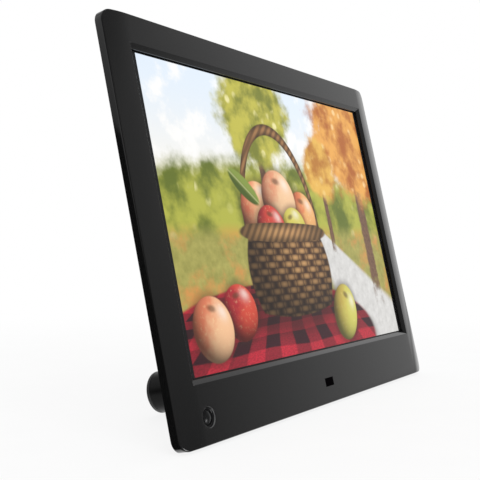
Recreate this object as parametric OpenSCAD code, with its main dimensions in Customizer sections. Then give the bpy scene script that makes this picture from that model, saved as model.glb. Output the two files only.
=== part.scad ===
// Ten-inch digital photo frame on a screw-in rear leg.
//
// Each piece is drawn in the frame's own upright axes and then leaned back:
// x runs to the viewer's right, y is the depth behind the front face, and
// z runs up the frame from its bottom edge. lean() stands the finished frame
// on its lower rear rim and on the rubber end of the leg.

/* [Frame] */
// Overall width of the frame
frame_w = 246; // [240:1:256]
// Overall height of the frame
frame_h = 176; // [174:1:186]
// Depth of the side rim
rim_t = 5.4; // [5:0.1:6]
// Corner radius seen from the front
corner_r = 5.4; // [4:0.1:8]
// Thickness of the bezel's front wall
front_t = 2.2; // [2:0.1:2.4]
// Thickness of the bezel's side wall
side_wall = 1.8; // [1.4:0.1:2]
// Width of the softly rolled strip down each side of the front
roll_w = 14.4; // [10:0.1:15]
// How far that strip falls back at the side edge
roll_d = 1.6; // [0.6:0.1:1.8]
// Radius between the rolled strip and the side wall
edge_r = 1.2; // [0.8:0.1:1.4]
// Radius along the top and bottom front edges
long_edge_r = 0.5; // [0.3:0.1:1]

/* [Display] */
// Bezel at each side of the window
side_margin = 13.9; // [13:0.1:16]
// Bezel above the window
top_margin = 13.3; // [13:0.1:15]
// Bezel below the window
bottom_margin = 24.3; // [24:0.1:27]
// Width of the sloped edge round the window
bevel_w = 1.4; // [0.8:0.1:2]
// Depth of the sloped edge round the window
bevel_d = 1.1; // [0.6:0.1:1.6]
// Gap between the lit area and the window's inner edge
reveal = 0.7; // [0.3:0.1:1.2]
// Border of the display module at each side of the lit area
panel_side = 6; // [5:0.1:6.5]
// Border of the display module above the lit area
panel_top = 4.5; // [4:0.1:4.8]
// Border of the display module below the lit area
panel_bottom = 8.3; // [7:0.1:9]
// Width of the foam gasket round the window
gasket_w = 3; // [2:0.1:3.5]
// Thickness of the foam gasket
gasket_t = 0.3; // [0.2:0.05:0.5]
// Thickness of the display glass
glass_t = 1.1; // [0.8:0.1:1.3]
// Thickness of the stack of light films
film_t = 0.4; // [0.2:0.1:0.6]
// Thickness of the light guide
guide_t = 1.5; // [1.2:0.1:1.6]
// Thickness of the reflector sheet
reflector_t = 0.1; // [0.1:0.05:0.2]
// Thickness of the steel tray behind the display
tray_t = 0.5; // [0.4:0.1:0.6]
// Width of the moulded frame round the light guide
panel_frame_w = 3.2; // [2.5:0.1:3.6]
// Thickness of the ribs that keep the display in its place
locator_t = 1.2; // [0.8:0.1:1.3]
// Length of those ribs
locator_l = 10; // [6:1:12]

/* [Rear cover] */
// Overall depth of the frame without its leg
body_t = 21.5; // [21.3:0.1:22]
// Wall of the rear cover
cover_wall = 2; // [1.8:0.1:2.2]
// Step from the rim to the foot of the cover's slope
cover_step = 1; // [0.6:0.1:1.5]
// Width of the slope, from its foot to the flat back
slope_run = 20; // [19.5:0.1:20.5]
// Corner radius at the foot of the slope
cover_r = 21.5; // [21.2:0.1:22.5]
// Radius where the slope turns into the flat back
brow_r = 3; // [1:0.5:4]
// Height of the stiffening ribs inside the cover
stiffener_h = 1.4; // [0.8:0.1:1.6]
// Thickness of the stiffening ribs inside the cover
stiffener_t = 1.2; // [0.8:0.1:1.4]
// Depth of the cover's lip inside the rim
lip_d = 1.8; // [1:0.1:2.2]
// Thickness of the cover's lip
lip_t = 1.4; // [1:0.1:1.8]
// Width of one cooling slot
vent_w = 2; // [1.5:0.1:2.5]
// Length of one cooling slot
vent_l = 12; // [8:1:14]
// Distance between cooling slots
vent_pitch = 6; // [5:0.5:8]
// Number of cooling slots
vent_count = 9; // [3:1:11]
// Distance of the cooling slots from the top edge
vent_from_top = 34; // [32:1:38]

/* [Cover screws] */
// Distance of the outer screws from the frame's sides
screw_from_side = 39; // [35:1:41]
// Distance of the middle screws from the centre line
screw_mid_x = 22; // [18:1:30]
// Distance of the screws from the top edge
screw_from_top = 6.5; // [6:0.1:6.6]
// Distance of the screws from the bottom edge
screw_from_bottom = 7.5; // [7:0.1:9]
// Depth at which the cover's screw seats meet the bezel's posts
screw_joint_y = 5; // [4.6:0.1:5.2]
// Thickness of each screw seat
screw_seat_t = 1.6; // [1.2:0.1:2]
// Radius of a screw head
screw_head_r = 2.1; // [1.8:0.1:2.3]
// Height of a screw head
screw_head_h = 1.4; // [1:0.1:1.6]
// Radius of a screw shank
screw_shank_r = 1.1; // [0.9:0.1:1.2]
// Wall of the posts round the screws
screw_post_wall = 1.5; // [1.2:0.1:1.6]

/* [Leg] */
// Distance of the leg's centre from the left edge
leg_from_left = 63; // [58:0.5:70]
// Height of the leg's centre above the bottom edge
leg_z = 21.4; // [20.5:0.1:24]
// Radius of the leg
leg_r = 9.6; // [9:0.1:10]
// Reach of the leg's end behind the front face
leg_reach = 56.7; // [54:0.1:62]
// Thickness of the leg's rubber end
foot_t = 2.2; // [1.8:0.1:3]
// Radius round the leg's rubber end
foot_edge_r = 1; // [0.5:0.1:1.4]
// Length of the plug that holds the rubber end
foot_plug_l = 4; // [3:0.5:6]
// Wall of the leg's tube
leg_wall = 2.2; // [1.8:0.1:2.6]
// Length of the solid end of the leg
leg_solid_l = 14; // [12:0.5:18]
// Radius of the leg's stud
stud_r = 4; // [3.5:0.1:4.5]
// Length of the stud inside its socket
stud_in = 8.8; // [7:0.1:9]
// Length of the stud inside the leg
stud_hold = 11; // [9:0.5:11.5]
// Wall of a socket insert
insert_wall = 1.5; // [1:0.1:2]
// Length of a socket insert
insert_l = 9.6; // [9.2:0.1:10]
// Wall of the moulded tube that holds an insert
socket_wall = 2; // [1.5:0.1:2.5]
// Radius of the raised boss round each leg socket
boss_r = 10.8; // [10.6:0.1:12]
// Thickness of the washer between leg and boss
washer_t = 0.5; // [0.4:0.1:1]
// Height of the upright-format socket above the bottom edge
portrait_z = 50; // [46:1:62]

/* [Buttons] */
// Radius of a button cap
cap_r = 4.2; // [3.5:0.1:4.6]
// Distance between buttons
key_pitch = 14; // [13:0.5:15]
// Distance of the button group's centre from the right edge
keys_from_right = 53; // [49:1:57]
// Height of the button group's centre above the bottom edge
keys_z = 112; // [106:1:118]
// How far a button stands proud of the back
cap_proud = 1.2; // [0.8:0.1:2]
// Travel of a button
key_travel = 0.5; // [0.3:0.05:0.6]
// Width of a button's inner flange beyond its cap
cap_flange = 1.3; // [0.8:0.1:1.4]
// Thickness of a button's inner flange
cap_flange_t = 0.8; // [0.6:0.1:1]
// Length of a button's stem
stem_l = 1; // [0.6:0.1:1.2]
// Radius of a button's stem
stem_r = 1.6; // [1.2:0.1:2]
// Side of a push switch
switch_w = 6; // [5:0.1:6.4]
// Height of a push switch without its plunger
switch_h = 3.1; // [2.5:0.1:3.5]
// Height of a push switch's plunger
plunger_h = 0.5; // [0.3:0.1:0.7]
// Margin of the button board round the outer switches
key_board_margin = 10; // [9.8:0.1:10.4]

/* [Sensors] */
// Distance of the remote-control window from the centre line
ir_x = 1.1; // [0:0.1:4]
// Height of the remote-control window above the bottom edge
ir_z = 10; // [9.5:0.1:11]
// Width of the remote-control window
ir_w = 8.5; // [7:0.1:10]
// Height of the remote-control window
ir_h = 4.1; // [3.5:0.1:5]
// Distance of the motion lens from the left edge
lens_from_left = 19.8; // [19:0.1:22]
// Height of the motion lens above the bottom edge
lens_z = 10.5; // [9.8:0.1:11]
// Outer radius of the dish round the motion lens
dish_r = 4.2; // [3.8:0.1:4.5]
// Radius of the motion lens
lens_r = 3; // [2.5:0.1:3.2]
// Depth of the dish round the motion lens
dish_d = 0.9; // [0.6:0.1:1.2]
// Height of the lens dome above its ledge
lens_dome = 0.9; // [0.5:0.1:1.2]
// Radius of the motion sensor's can
can_r = 3.6; // [3:0.1:3.8]
// Depth of the sensor boards' front face
sensor_board_y = 7; // [6.8:0.1:7.2]
// Thickness of the small sensor boards
sensor_board_t = 1; // [0.8:0.1:1]
// Width of the small sensor boards
sensor_board_w = 19.5; // [19:0.5:19.5]
// Board left of each sensor's axis
sensor_board_left = 5; // [4.5:0.1:5]
// Height of the small sensor boards
sensor_board_h = 11.5; // [10:0.5:12]
// Lower edge of the sensor boards above the bottom edge
sensor_board_z = 9; // [8.9:0.1:9.6]
// Distance of the nearer board screw from the sensor's axis
sensor_screw_x = 7.5; // [7.4:0.1:7.8]
// Distance between the two screws of a sensor board
sensor_screw_gap = 5; // [4.4:0.1:5]

/* [Boards and ports] */
// Thickness of the main and button boards
board_t = 1.6; // [1.2:0.1:1.7]
// Width of the main board
board_w = 96; // [92:1:100]
// Height of the main board
board_h = 64; // [62:1:68]
// Height of the main board's lower edge above the bottom edge
board_z = 63; // [62:1:66]
// Height of the pillars that carry the main board
standoff_h = 2.5; // [2.3:0.1:2.8]
// Distance of the board screws from the board's edges
board_screw_in = 4; // [3.5:0.1:4.5]
// Distance of the screws beside the ports from the board's left edge
board_screw_left = 30; // [30:0.5:31]
// Distance of the port wall from the frame's left edge
port_wall_in = 26; // [25:0.5:28]
// Outer depth of the port recess's floor
recess_y = 9; // [8.8:0.1:9.4]
// Space between the outer ports and the recess's ends
recess_margin = 2.5; // [2:0.1:4]
// Height of the power inlet's centre above the board's lower edge
power_z = 6; // [5:0.5:6.5]
// Height of the earphone jack's centre above the board's lower edge
audio_z = 16; // [15.5:0.5:17]
// Height of the USB socket's centre above the board's lower edge
usb_z = 30; // [28:0.5:31]
// Height of the card slot's centre above the board's lower edge
card_z = 52; // [51.5:0.5:52.5]
// Radius of a loudspeaker
speaker_r = 14; // [12:0.5:14.5]
// Distance of each loudspeaker from the centre line
speaker_x = 45; // [42:1:46]
// Height of the loudspeakers above the bottom edge
speaker_z = 43; // [42:1:45]
// Width of the display's ribbon cable
ribbon_w = 30; // [20:1:40]
// Thickness of the display's ribbon cable
ribbon_t = 0.3; // [0.2:0.05:0.4]

/* [Clearances] */
// Gap between pieces that push together
fit = 0.15; // [0.1:0.05:0.25]
// Gap round a button cap
cap_gap = 0.25; // [0.2:0.05:0.35]
// Radial running gap of the stud in its socket
stud_gap = 0.05; // [0.03:0.01:0.09]
// Gap on each side of the leg's washer
washer_gap = 0.05; // [0.03:0.01:0.1]
// Gap between pieces that must never touch
air = 0.3; // [0.25:0.05:0.4]

/* [Hidden] */
$fn = 64;

cut = 1; // overshoot of every cut past the face it opens

// Rest position: the lower rear rim and the leg's end share one floor
lean_angle = atan((leg_z - leg_r) / (leg_reach - rim_t));
depth_min = long_edge_r * (1 - cos(lean_angle) + sin(lean_angle));
depth_max = (leg_reach - foot_edge_r) * cos(lean_angle)
    + (leg_z + leg_r - foot_edge_r) * sin(lean_angle) + foot_edge_r;

// Places on the front
active_w = frame_w - 2 * (side_margin + bevel_w + reveal);
active_bottom = bottom_margin + bevel_w + reveal;
active_top = frame_h - top_margin - bevel_w - reveal;
active_h = active_top - active_bottom;
active_z = (active_top + active_bottom) / 2;
opening_w = active_w + 2 * reveal;
opening_h = active_h + 2 * reveal;
lens_x = lens_from_left - frame_w / 2;
leg_x = leg_from_left - frame_w / 2;
portrait_x = frame_w / 2 - leg_z;

// Depth of each layer of the display
gasket_y = front_t;
glass_y = gasket_y + gasket_t;
film_y = glass_y + glass_t;
guide_y = film_y + film_t;
reflector_y = guide_y + guide_t;
tray_y = reflector_y + reflector_t;
panel_back = tray_y + tray_t;
panel_w = active_w + 2 * panel_side;
panel_low = active_bottom - panel_bottom;
panel_high = active_top + panel_top;
panel_h = panel_high - panel_low;
panel_z = (panel_high + panel_low) / 2;
stack_w = panel_w - 2 * (tray_t + fit + panel_frame_w);
stack_h = panel_h - 2 * (tray_t + fit + panel_frame_w);
led_h = 1.6;
led_base_h = 0.5;
led_inset = 0.2;

// Slope of the rear cover
slope_d = body_t - rim_t;
slope_angle = atan(slope_d / slope_run);
wall_shift = cover_wall / sin(slope_angle);
inner_y = body_t - cover_wall;
vent_z = frame_h - vent_from_top;
vents_low = vent_z - vent_l / 2;
back_w = frame_w - 2 * cover_step;
back_h = frame_h - 2 * cover_step;

// Cover screws: x and z of each, and the depth of its seat
screw_x = frame_w / 2 - screw_from_side;
screw_zs = [screw_from_bottom, frame_h - screw_from_top];
screws = [for (x = [-screw_x, screw_mid_x, screw_x], z = screw_zs) [x, z]];
seat_y = screw_joint_y + screw_seat_t;
head_pocket_r = screw_head_r + air;
post_r = screw_shank_r + screw_post_wall;
screw_bite = 3;

// Ribs round the display, as x and z of each middle, then its width and height
locator_x = panel_w / 2 + air + locator_t / 2;
locator_top = panel_high + air + locator_t / 2;
locator_bottom = panel_low - air - locator_t / 2;
locators = concat(
    [for (x = [-locator_x, locator_x], z = [-panel_h / 5, panel_h / 5])
        [x, panel_z + z, locator_t, locator_l]],
    [for (x = [-panel_w / 4, panel_w / 4]) [x, locator_top, locator_l, locator_t]],
    [for (x = [-panel_w / 3, panel_w / 4]) [x, locator_bottom, locator_l, locator_t]]
);

// Panel clips
clip_w = 8;
clip_t = 0.5;
clip_over = 3;
clip_from_end = 16;
clip_post_r = 2;
clip_x = panel_w / 2 + air + clip_post_r;
clip_zs = [panel_low + clip_from_end, panel_high - clip_from_end];
small_head_r = 1.3;
small_head_h = 0.5;
small_shank_r = 0.7;
small_shank_l = 3;

// Boards and ports
port_wall_x = port_wall_in - frame_w / 2;
board_left = port_wall_x + cover_wall + air;
board_y = panel_back + standoff_h;
board_back = board_y + board_t;
pillar_r = 2.4;
pillar_floor = 0.3;
board_screw_r = 1.3;
board_head_r = 2.2;
board_head_h = 1.2;
usb_size = [14, 5.7, 13.1];
usb_shell = 0.3;
usb_tongue = [12, 1.8, 11.2];
usb_tongue_in = 1.5;
usb_tongue_up = 0.5;
card_size = [27, 2.9, 26];
card_mouth = 2.2;
card_end = 2;
jack_size = [12, 6.2, 7];
jack_hole_r = 1.9;
jack_pin_r = 0.65;
jack_end = 1;
audio_size = [12, 5, 6.2];
audio_collar_r = 2.4;
audio_collar_l = 1.5;
audio_hole_r = 1.8;
audio_end = 1;
port_set_back = 0.4;
recess_low = board_z + power_z - jack_size[2] / 2 - recess_margin;
recess_high = board_z + card_z + card_size[2] / 2 + recess_margin;
connector_side = 2;
ribbon_bend = 4;
ribbon_short = 1;
connector_size = [ribbon_w + 2 * connector_side, 1.5, 5];

// Chips and supply parts, placed from the board's lower left corner
chip_shift = 8;
chip_x = board_left + board_w / 2 + chip_shift;
chip_step = 16;
processor_size = [15, 1.2, 15];
processor_up = board_h / 2 + chip_step / 4;
memory_size = [9, 1, 12];
memory_in = 16;
memory_shift = 2;
memory_up = board_h / 2 + memory_shift;
flash_size = [12, 1, 8];
flash_up = 14;
capacitor_r = 3.1;
capacitor_h = 5.4;
capacitor_in = 20;
capacitor_up = 8;
capacitor_gap = 10;
inductor_size = [7, 3, 7];
inductor_in = 38;
inductor_up = 12;

// Loudspeakers and their grilles
speaker_rim_t = 1;
speaker_cone_t = 3.4;
speaker_cone_in = 1.5;
speaker_magnet_r = 8;
speaker_magnet_t = 3;
grille_hole_r = 1;
grille_pitch = 3.6;

// Buttons
keys_x = frame_w / 2 - keys_from_right;
key_grid = [
    ["power", -1, 1], ["up", 0, 1], ["exit", 1, 1], ["left", -1, 0], ["ok", 0, 0],
    ["right", 1, 0], ["menu", -1, -1], ["down", 0, -1]
];
flange_back = inner_y - cap_gap;
stem_gap = 0.1;
stem_front = flange_back - cap_flange_t - stem_l;
plunger_top = stem_front - key_travel - stem_gap;
switch_back = plunger_top - plunger_h;
key_board_back = switch_back - switch_h;
key_board_y = key_board_back - board_t;
key_board_s = 2 * key_pitch + 2 * key_board_margin;
key_post_r = 2.8;
key_screw_in = 3.6;
plunger_r = 1.7;
cable_plug = [4, 2, 10];
cable_in = 4.4;
cable_w = 8;
cable_t = 0.3;
cable_bend = 6;
cable_z = board_z + board_h - board_screw_in - board_head_r - air - cable_plug[2] / 2;

// Sensors
sensor_post_r = 2;
sensor_post_gap = 1.8;
sensor_screw_z = panel_low - air - sensor_post_r - sensor_post_gap;
sensor_screw_xs = [for (x = [ir_x, lens_x], step = [0, sensor_screw_gap]) x + sensor_screw_x + step];
ir_flange = 1;
ir_flange_t = 0.8;
receiver_w = 6;
receiver_h = 6.5;
receiver_dome_r = 1.8;
lens_flange_t = 0.8;
lens_flange = 1.2;
can_flange = 0.3;
can_flange_t = 0.5;

// Leg
socket_floor = 1;
boss_rib_t = 1.2;
boss_rib_in = 1;
socket_y = body_t - insert_l - socket_floor;
insert_r = stud_r + stud_gap + insert_wall;
leg_y = body_t + washer_t + 2 * washer_gap;
leg_end_y = leg_reach - foot_t;
leg_bore_r = leg_r - leg_wall;

// ---------- shared shapes ----------

// Stands the upright frame on the floor at its working angle
module lean() {
    translate([0, -(depth_min + depth_max) / 2, rim_t * sin(lean_angle)])
        rotate([-lean_angle, 0, 0])
            children();
}

// Extrudes an outline drawn in x and z between two depths
module slab(from, to) {
    translate([0, to, 0])
        rotate([90, 0, 0])
            linear_extrude(to - from)
                children();
}

// Round bar along the depth
module bar(x, z, from, to, r) {
    translate([x, from, z])
        rotate([-90, 0, 0])
            cylinder(h = to - from, r = r);
}

// Box given by its middle in x and z and its two depths
module block(x, z, w, h, from, to) {
    translate([x - w / 2, from, z - h / 2])
        cube([w, to - from, h]);
}

// Rectangle with round corners
module round_rect(w, h, r) {
    square([w - 2 * r, h], center = true);
    square([w, h - 2 * r], center = true);
    for (x = [-1, 1], y = [-1, 1])
        translate([x * (w / 2 - r), y * (h / 2 - r)])
            circle(r);
}

// Ring between two rectangles that share a middle
module rect_ring(w, h, inner_w, inner_h) {
    difference() {
        square([w, h], center = true);
        square([inner_w, inner_h], center = true);
    }
}

// Pan-head screw along the depth: its head lies behind head_y and its shank runs forward
module screw(x, z, head_y, head_r, head_h, shank_r, shank_l) {
    slot_w = 0.3 * head_r;
    difference() {
        bar(x, z, head_y, head_y + head_h, head_r);
        for (turn = [0, 90])
            translate([x, head_y + head_h, z])
                rotate([0, turn, 0])
                    cube([1.3 * head_r, head_h, slot_w], center = true);
    }
    bar(x, z, head_y - shank_l, head_y, shank_r);
}

// ---------- front bezel ----------

roll_run = roll_w - edge_r;
roll_power = 1.8;
roll_end_angle = atan(roll_d * roll_power / roll_run);
roll_steps = 10;
arc_steps = 5;

// Right half of the bezel's cross-section: rolled strip, edge radius, side wall
function half_section() = concat(
    [for (i = [0:roll_steps])
        let (s = i / roll_steps)
            [frame_w / 2 - edge_r * (1 - sin(roll_end_angle)) - roll_run * (1 - s),
             roll_d * pow(s, roll_power)]],
    [for (i = [1:arc_steps])
        let (g = roll_end_angle + (90 - roll_end_angle) * i / arc_steps)
            [frame_w / 2 - edge_r * (1 - sin(g)),
             roll_d + edge_r * (cos(roll_end_angle) - cos(g))]],
    [[frame_w / 2, rim_t]]
);

function mirrored(points) = [for (i = [len(points) - 1:-1:0]) [-points[i][0], points[i][1]]];

// Upright section of the bezel's top and bottom edges, as depth and height
function long_edge_section() = concat(
    [[rim_t, 0]],
    [for (i = [0:arc_steps])
        let (g = 90 * i / arc_steps)
            [long_edge_r * (1 - sin(g)), long_edge_r * (1 - cos(g))]],
    [for (i = [arc_steps:-1:0])
        let (g = 90 * i / arc_steps)
            [long_edge_r * (1 - sin(g)), frame_h - long_edge_r * (1 - cos(g))]],
    [[rim_t, frame_h]]
);

module bezel_blank() {
    intersection() {
        linear_extrude(frame_h)
            polygon(concat(half_section(), mirrored(half_section())));
        translate([-frame_w / 2, 0, 0])
            rotate([90, 0, 90])
                linear_extrude(frame_w)
                    polygon(long_edge_section());
        slab(-cut, rim_t + cut)
            translate([0, frame_h / 2])
                round_rect(frame_w, frame_h, corner_r);
    }
}

// Window with its sloped edge, as two crossed wedges and the opening behind them
module window_cut() {
    slope = bevel_w / bevel_d;
    wide = opening_w / 2 + bevel_w;
    tall = opening_h / 2 + bevel_w;
    translate([0, 0, active_z])
        intersection() {
            translate([0, 0, -tall - cut * slope])
                linear_extrude(2 * (tall + cut * slope))
                    polygon([[-wide - cut * slope, -cut], [wide + cut * slope, -cut],
                             [opening_w / 2, bevel_d], [-opening_w / 2, bevel_d]]);
            translate([-wide - cut * slope, 0, 0])
                rotate([90, 0, 90])
                    linear_extrude(2 * (wide + cut * slope))
                        polygon([[-cut, -tall - cut * slope], [bevel_d, -opening_h / 2],
                                 [bevel_d, opening_h / 2], [-cut, tall + cut * slope]]);
        }
    block(0, active_z, opening_w, opening_h, bevel_d / 2, front_t + cut);
}

module front_bezel() {
    color("#1c1c1e")
        lean()
            difference() {
                union() {
                    difference() {
                        bezel_blank();
                        slab(front_t, rim_t + cut)
                            translate([0, frame_h / 2])
                                round_rect(frame_w - 2 * side_wall, frame_h - 2 * side_wall,
                                           corner_r - side_wall);
                        window_cut();
                    }
                    for (s = screws)
                        bar(s[0], s[1], front_t / 2, screw_joint_y, post_r);
                    for (x = [-clip_x, clip_x], z = clip_zs)
                        bar(x, z, front_t / 2, panel_back, clip_post_r);
                    for (x = sensor_screw_xs)
                        bar(x, sensor_screw_z, front_t / 2, sensor_board_y, sensor_post_r);
                    for (l = locators)
                        block(l[0], l[1], l[2], l[3], front_t / 2, tray_y);
                }
                block(ir_x, ir_z, ir_w, ir_h, -cut, front_t + cut);
                translate([lens_x, 0, lens_z])
                    rotate([-90, 0, 0])
                        cylinder(h = dish_d, r1 = dish_r, r2 = lens_r + fit);
                bar(lens_x, lens_z, -cut, front_t + cut, lens_r + fit);
                for (s = screws)
                    bar(s[0], s[1], screw_joint_y - screw_bite, screw_joint_y + cut, screw_shank_r);
                for (x = [-clip_x, clip_x], z = clip_zs)
                    bar(x, z, panel_back - small_shank_l, panel_back + cut, small_shank_r);
                for (x = sensor_screw_xs)
                    bar(x, sensor_screw_z, sensor_board_y - small_shank_l, sensor_board_y + cut,
                        small_shank_r);
            }
}

module ir_window() {
    color("#120c10")
        lean() {
            block(ir_x, ir_z, ir_w - 2 * fit, ir_h - 2 * fit, fit, front_t);
            block(ir_x, ir_z, ir_w + 2 * ir_flange, ir_h + 2 * ir_flange, front_t, front_t + ir_flange_t);
        }
}

module motion_lens() {
    dome_r = (lens_r * lens_r + lens_dome * lens_dome) / (2 * lens_dome);
    color("#2a2a2e")
        lean() {
            intersection() {
                translate([lens_x, dish_d - lens_dome + dome_r + fit, lens_z])
                    sphere(dome_r);
                bar(lens_x, lens_z, -cut, front_t, lens_r);
            }
            bar(lens_x, lens_z, front_t, front_t + lens_flange_t, lens_r + lens_flange);
        }
}

// ---------- display ----------

module panel_gasket() {
    color("#0c0c0c")
        lean()
            slab(gasket_y, glass_y)
                translate([0, active_z])
                    rect_ring(opening_w + 2 * gasket_w, opening_h + 2 * gasket_w,
                              opening_w + 2 * fit, opening_h + 2 * fit);
}

module lcd_glass() {
    color("#20242c")
        lean()
            slab(glass_y, film_y)
                translate([0, panel_z])
                    square([panel_w - 2 * (tray_t + fit), panel_h - 2 * (tray_t + fit)], center = true);
}

module light_films() {
    color("#eef2f4")
        lean()
            slab(film_y, guide_y)
                translate([0, panel_z])
                    square([stack_w - 2 * fit, stack_h - 2 * fit], center = true);
}

module light_guide() {
    color("#dfeef2")
        lean()
            slab(guide_y, reflector_y)
                translate([0, panel_z + (led_h + fit) / 2])
                    square([stack_w - 2 * fit, stack_h - 2 * fit - led_h - fit], center = true);
}

module reflector_sheet() {
    color("#f6f6f6")
        lean()
            slab(reflector_y, tray_y)
                translate([0, panel_z])
                    square([stack_w - 2 * fit, stack_h - 2 * fit], center = true);
}

module led_strip() {
    led_count = 24;
    led_w = 5;
    pitch = (stack_w - 4 * fit - led_w) / (led_count - 1);
    low = panel_z - stack_h / 2 + fit;
    color("#f4e9a0")
        lean() {
            block(0, low + led_base_h / 2, stack_w - 4 * fit, led_base_h, guide_y, reflector_y);
            for (i = [0:led_count - 1])
                block((i - (led_count - 1) / 2) * pitch, low + (led_base_h + led_h) / 2, led_w,
                      led_h - led_base_h, guide_y + led_inset, reflector_y - led_inset);
        }
}

module panel_frame() {
    color("#e8e8e6")
        lean()
            slab(film_y, tray_y)
                translate([0, panel_z])
                    rect_ring(panel_w - 2 * (tray_t + fit), panel_h - 2 * (tray_t + fit), stack_w, stack_h);
}

module panel_tray() {
    color("#a9adb0")
        lean() {
            slab(tray_y, panel_back)
                translate([0, panel_z])
                    square([panel_w, panel_h], center = true);
            slab(film_y, tray_y)
                translate([0, panel_z])
                    rect_ring(panel_w, panel_h, panel_w - 2 * tray_t, panel_h - 2 * tray_t);
        }
}

module panel_clips() {
    color("#b4b8ba")
        lean()
            for (side = [-1, 1], z = clip_zs)
                difference() {
                    block(side * (clip_x + clip_post_r - (clip_over + air + 2 * clip_post_r) / 2), z,
                          clip_over + air + 2 * clip_post_r, clip_w, panel_back, panel_back + clip_t);
                    bar(side * clip_x, z, panel_back - cut, panel_back + clip_t + cut, small_shank_r + fit);
                }
}

module clip_screws() {
    color("#8f9395")
        lean()
            for (x = [-clip_x, clip_x], z = clip_zs)
                screw(x, z, panel_back + clip_t, small_head_r, small_head_h, small_shank_r,
                      clip_t + small_shank_l - fit);
}

// Ribbon cable: out under the glass, round the tray's lower edge and up to the board
module display_ribbon() {
    below = panel_low - air;
    behind = panel_back + fit;
    board_in = board_y - connector_size[1] / 2;
    top = board_z + connector_size[2];
    color("#c08a2e")
        lean()
            translate([-ribbon_w / 2 + chip_x, 0, 0])
                rotate([90, 0, 90])
                    linear_extrude(ribbon_w)
                        polygon([
                            [film_y - fit, panel_low + tray_t + fit],
                            [film_y - fit, below],
                            [behind, below],
                            [behind, board_z - ribbon_bend],
                            [board_in, board_z],
                            [board_in, top - ribbon_short],
                            [board_in + ribbon_t, top - ribbon_short],
                            [board_in + ribbon_t, board_z],
                            [behind + ribbon_t, board_z - ribbon_bend],
                            [behind + ribbon_t, below - ribbon_t],
                            [film_y - fit - ribbon_t, below - ribbon_t],
                            [film_y - fit - ribbon_t, panel_low + tray_t + fit]
                        ]);
}

// ---------- electronics ----------

function board_holes() = [
    for (x = [board_left + board_screw_left, board_left + board_w - board_screw_in],
         z = [board_z + board_screw_in, board_z + board_h - board_screw_in]) [x, z]
];

module board_pillars() {
    color("#c9a85c")
        lean()
            for (p = board_holes())
                difference() {
                    bar(p[0], p[1], panel_back, board_y, pillar_r);
                    bar(p[0], p[1], panel_back + pillar_floor, board_y + cut, board_screw_r);
                }
}

module main_board() {
    color("#1e5a34")
        lean()
            difference() {
                slab(board_y, board_back)
                    translate([board_left + board_w / 2, board_z + board_h / 2])
                        square([board_w, board_h], center = true);
                for (p = board_holes())
                    bar(p[0], p[1], board_y - cut, board_back + cut, board_screw_r + fit);
            }
}

module board_screws() {
    color("#9a9ea0")
        lean()
            for (p = board_holes())
                screw(p[0], p[1], board_back, board_head_r, board_head_h, board_screw_r,
                      board_back - panel_back - pillar_floor - air);
}

// Chip lying on the back of the main board
module chip(x, up, size) {
    block(x, board_z + up, size[0], size[2], board_back, board_back + size[1]);
}

module processor() {
    color("#2a2a2c")
        lean()
            chip(chip_x, processor_up, processor_size);
}

module memory_chips() {
    color("#242426")
        lean() {
            for (i = [0, 1])
                chip(board_left + board_w - memory_in, memory_up + chip_step * i, memory_size);
            chip(chip_x, flash_up, flash_size);
        }
}

// Electrolytic capacitors and the inductor of the supply
module power_parts() {
    color("#6f7478")
        lean() {
            for (i = [0, 1])
                bar(board_left + capacitor_in, board_z + capacitor_up + capacitor_gap * i,
                    board_back, board_back + capacitor_h, capacitor_r);
            chip(board_left + inductor_in, inductor_up, inductor_size);
        }
}

module ribbon_connector() {
    slot_h = ribbon_t + 2 * fit;
    slot_y = board_y - connector_size[1] / 2;
    color("#e4dcc8")
        lean()
            difference() {
                block(chip_x, board_z + connector_size[2] / 2 + 0.5, connector_size[0],
                      connector_size[2], board_y - connector_size[1], board_y);
                block(chip_x, board_z + connector_size[2] / 2 - 0.5, ribbon_w + 2 * fit,
                      connector_size[2], slot_y - fit, slot_y - fit + slot_h);
            }
}

// Drawn steel shell with its contact tongue, mouth towards the port wall
module usb_socket() {
    x = port_wall_x + port_set_back;
    z = board_z + usb_z;
    color("#b9bdc0")
        lean() {
            difference() {
                translate([x, board_back, z - usb_size[2] / 2])
                    cube(usb_size);
                translate([x - cut, board_back + usb_shell, z - usb_size[2] / 2 + usb_shell])
                    cube([usb_size[0], usb_size[1] - 2 * usb_shell, usb_size[2] - 2 * usb_shell]);
            }
            translate([x + usb_tongue_in, board_back + usb_shell + usb_tongue_up, z - usb_tongue[2] / 2])
                cube(usb_tongue);
        }
}

module card_slot() {
    x = port_wall_x + port_set_back;
    z = board_z + card_z;
    color("#b0b4b7")
        lean()
            difference() {
                translate([x, board_back, z - card_size[2] / 2])
                    cube(card_size);
                translate([x - cut, board_back + usb_shell, z - card_size[2] / 2 + usb_shell])
                    cube([card_size[0] - card_end, card_mouth, card_size[2] - 2 * usb_shell]);
            }
}

// Barrel inlet with its centre pin
module power_inlet() {
    x = port_wall_x + port_set_back;
    z = board_z + power_z;
    mid_y = board_back + jack_size[1] / 2;
    color("#17171a")
        lean() {
            difference() {
                translate([x, board_back, z - jack_size[2] / 2])
                    cube(jack_size);
                translate([x - cut, mid_y, z])
                    rotate([0, 90, 0])
                        cylinder(h = jack_size[0] - jack_end, r = jack_hole_r);
            }
            translate([x + jack_end, mid_y, z])
                rotate([0, 90, 0])
                    cylinder(h = jack_size[0] - 2 * jack_end, r = jack_pin_r);
        }
}

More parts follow.
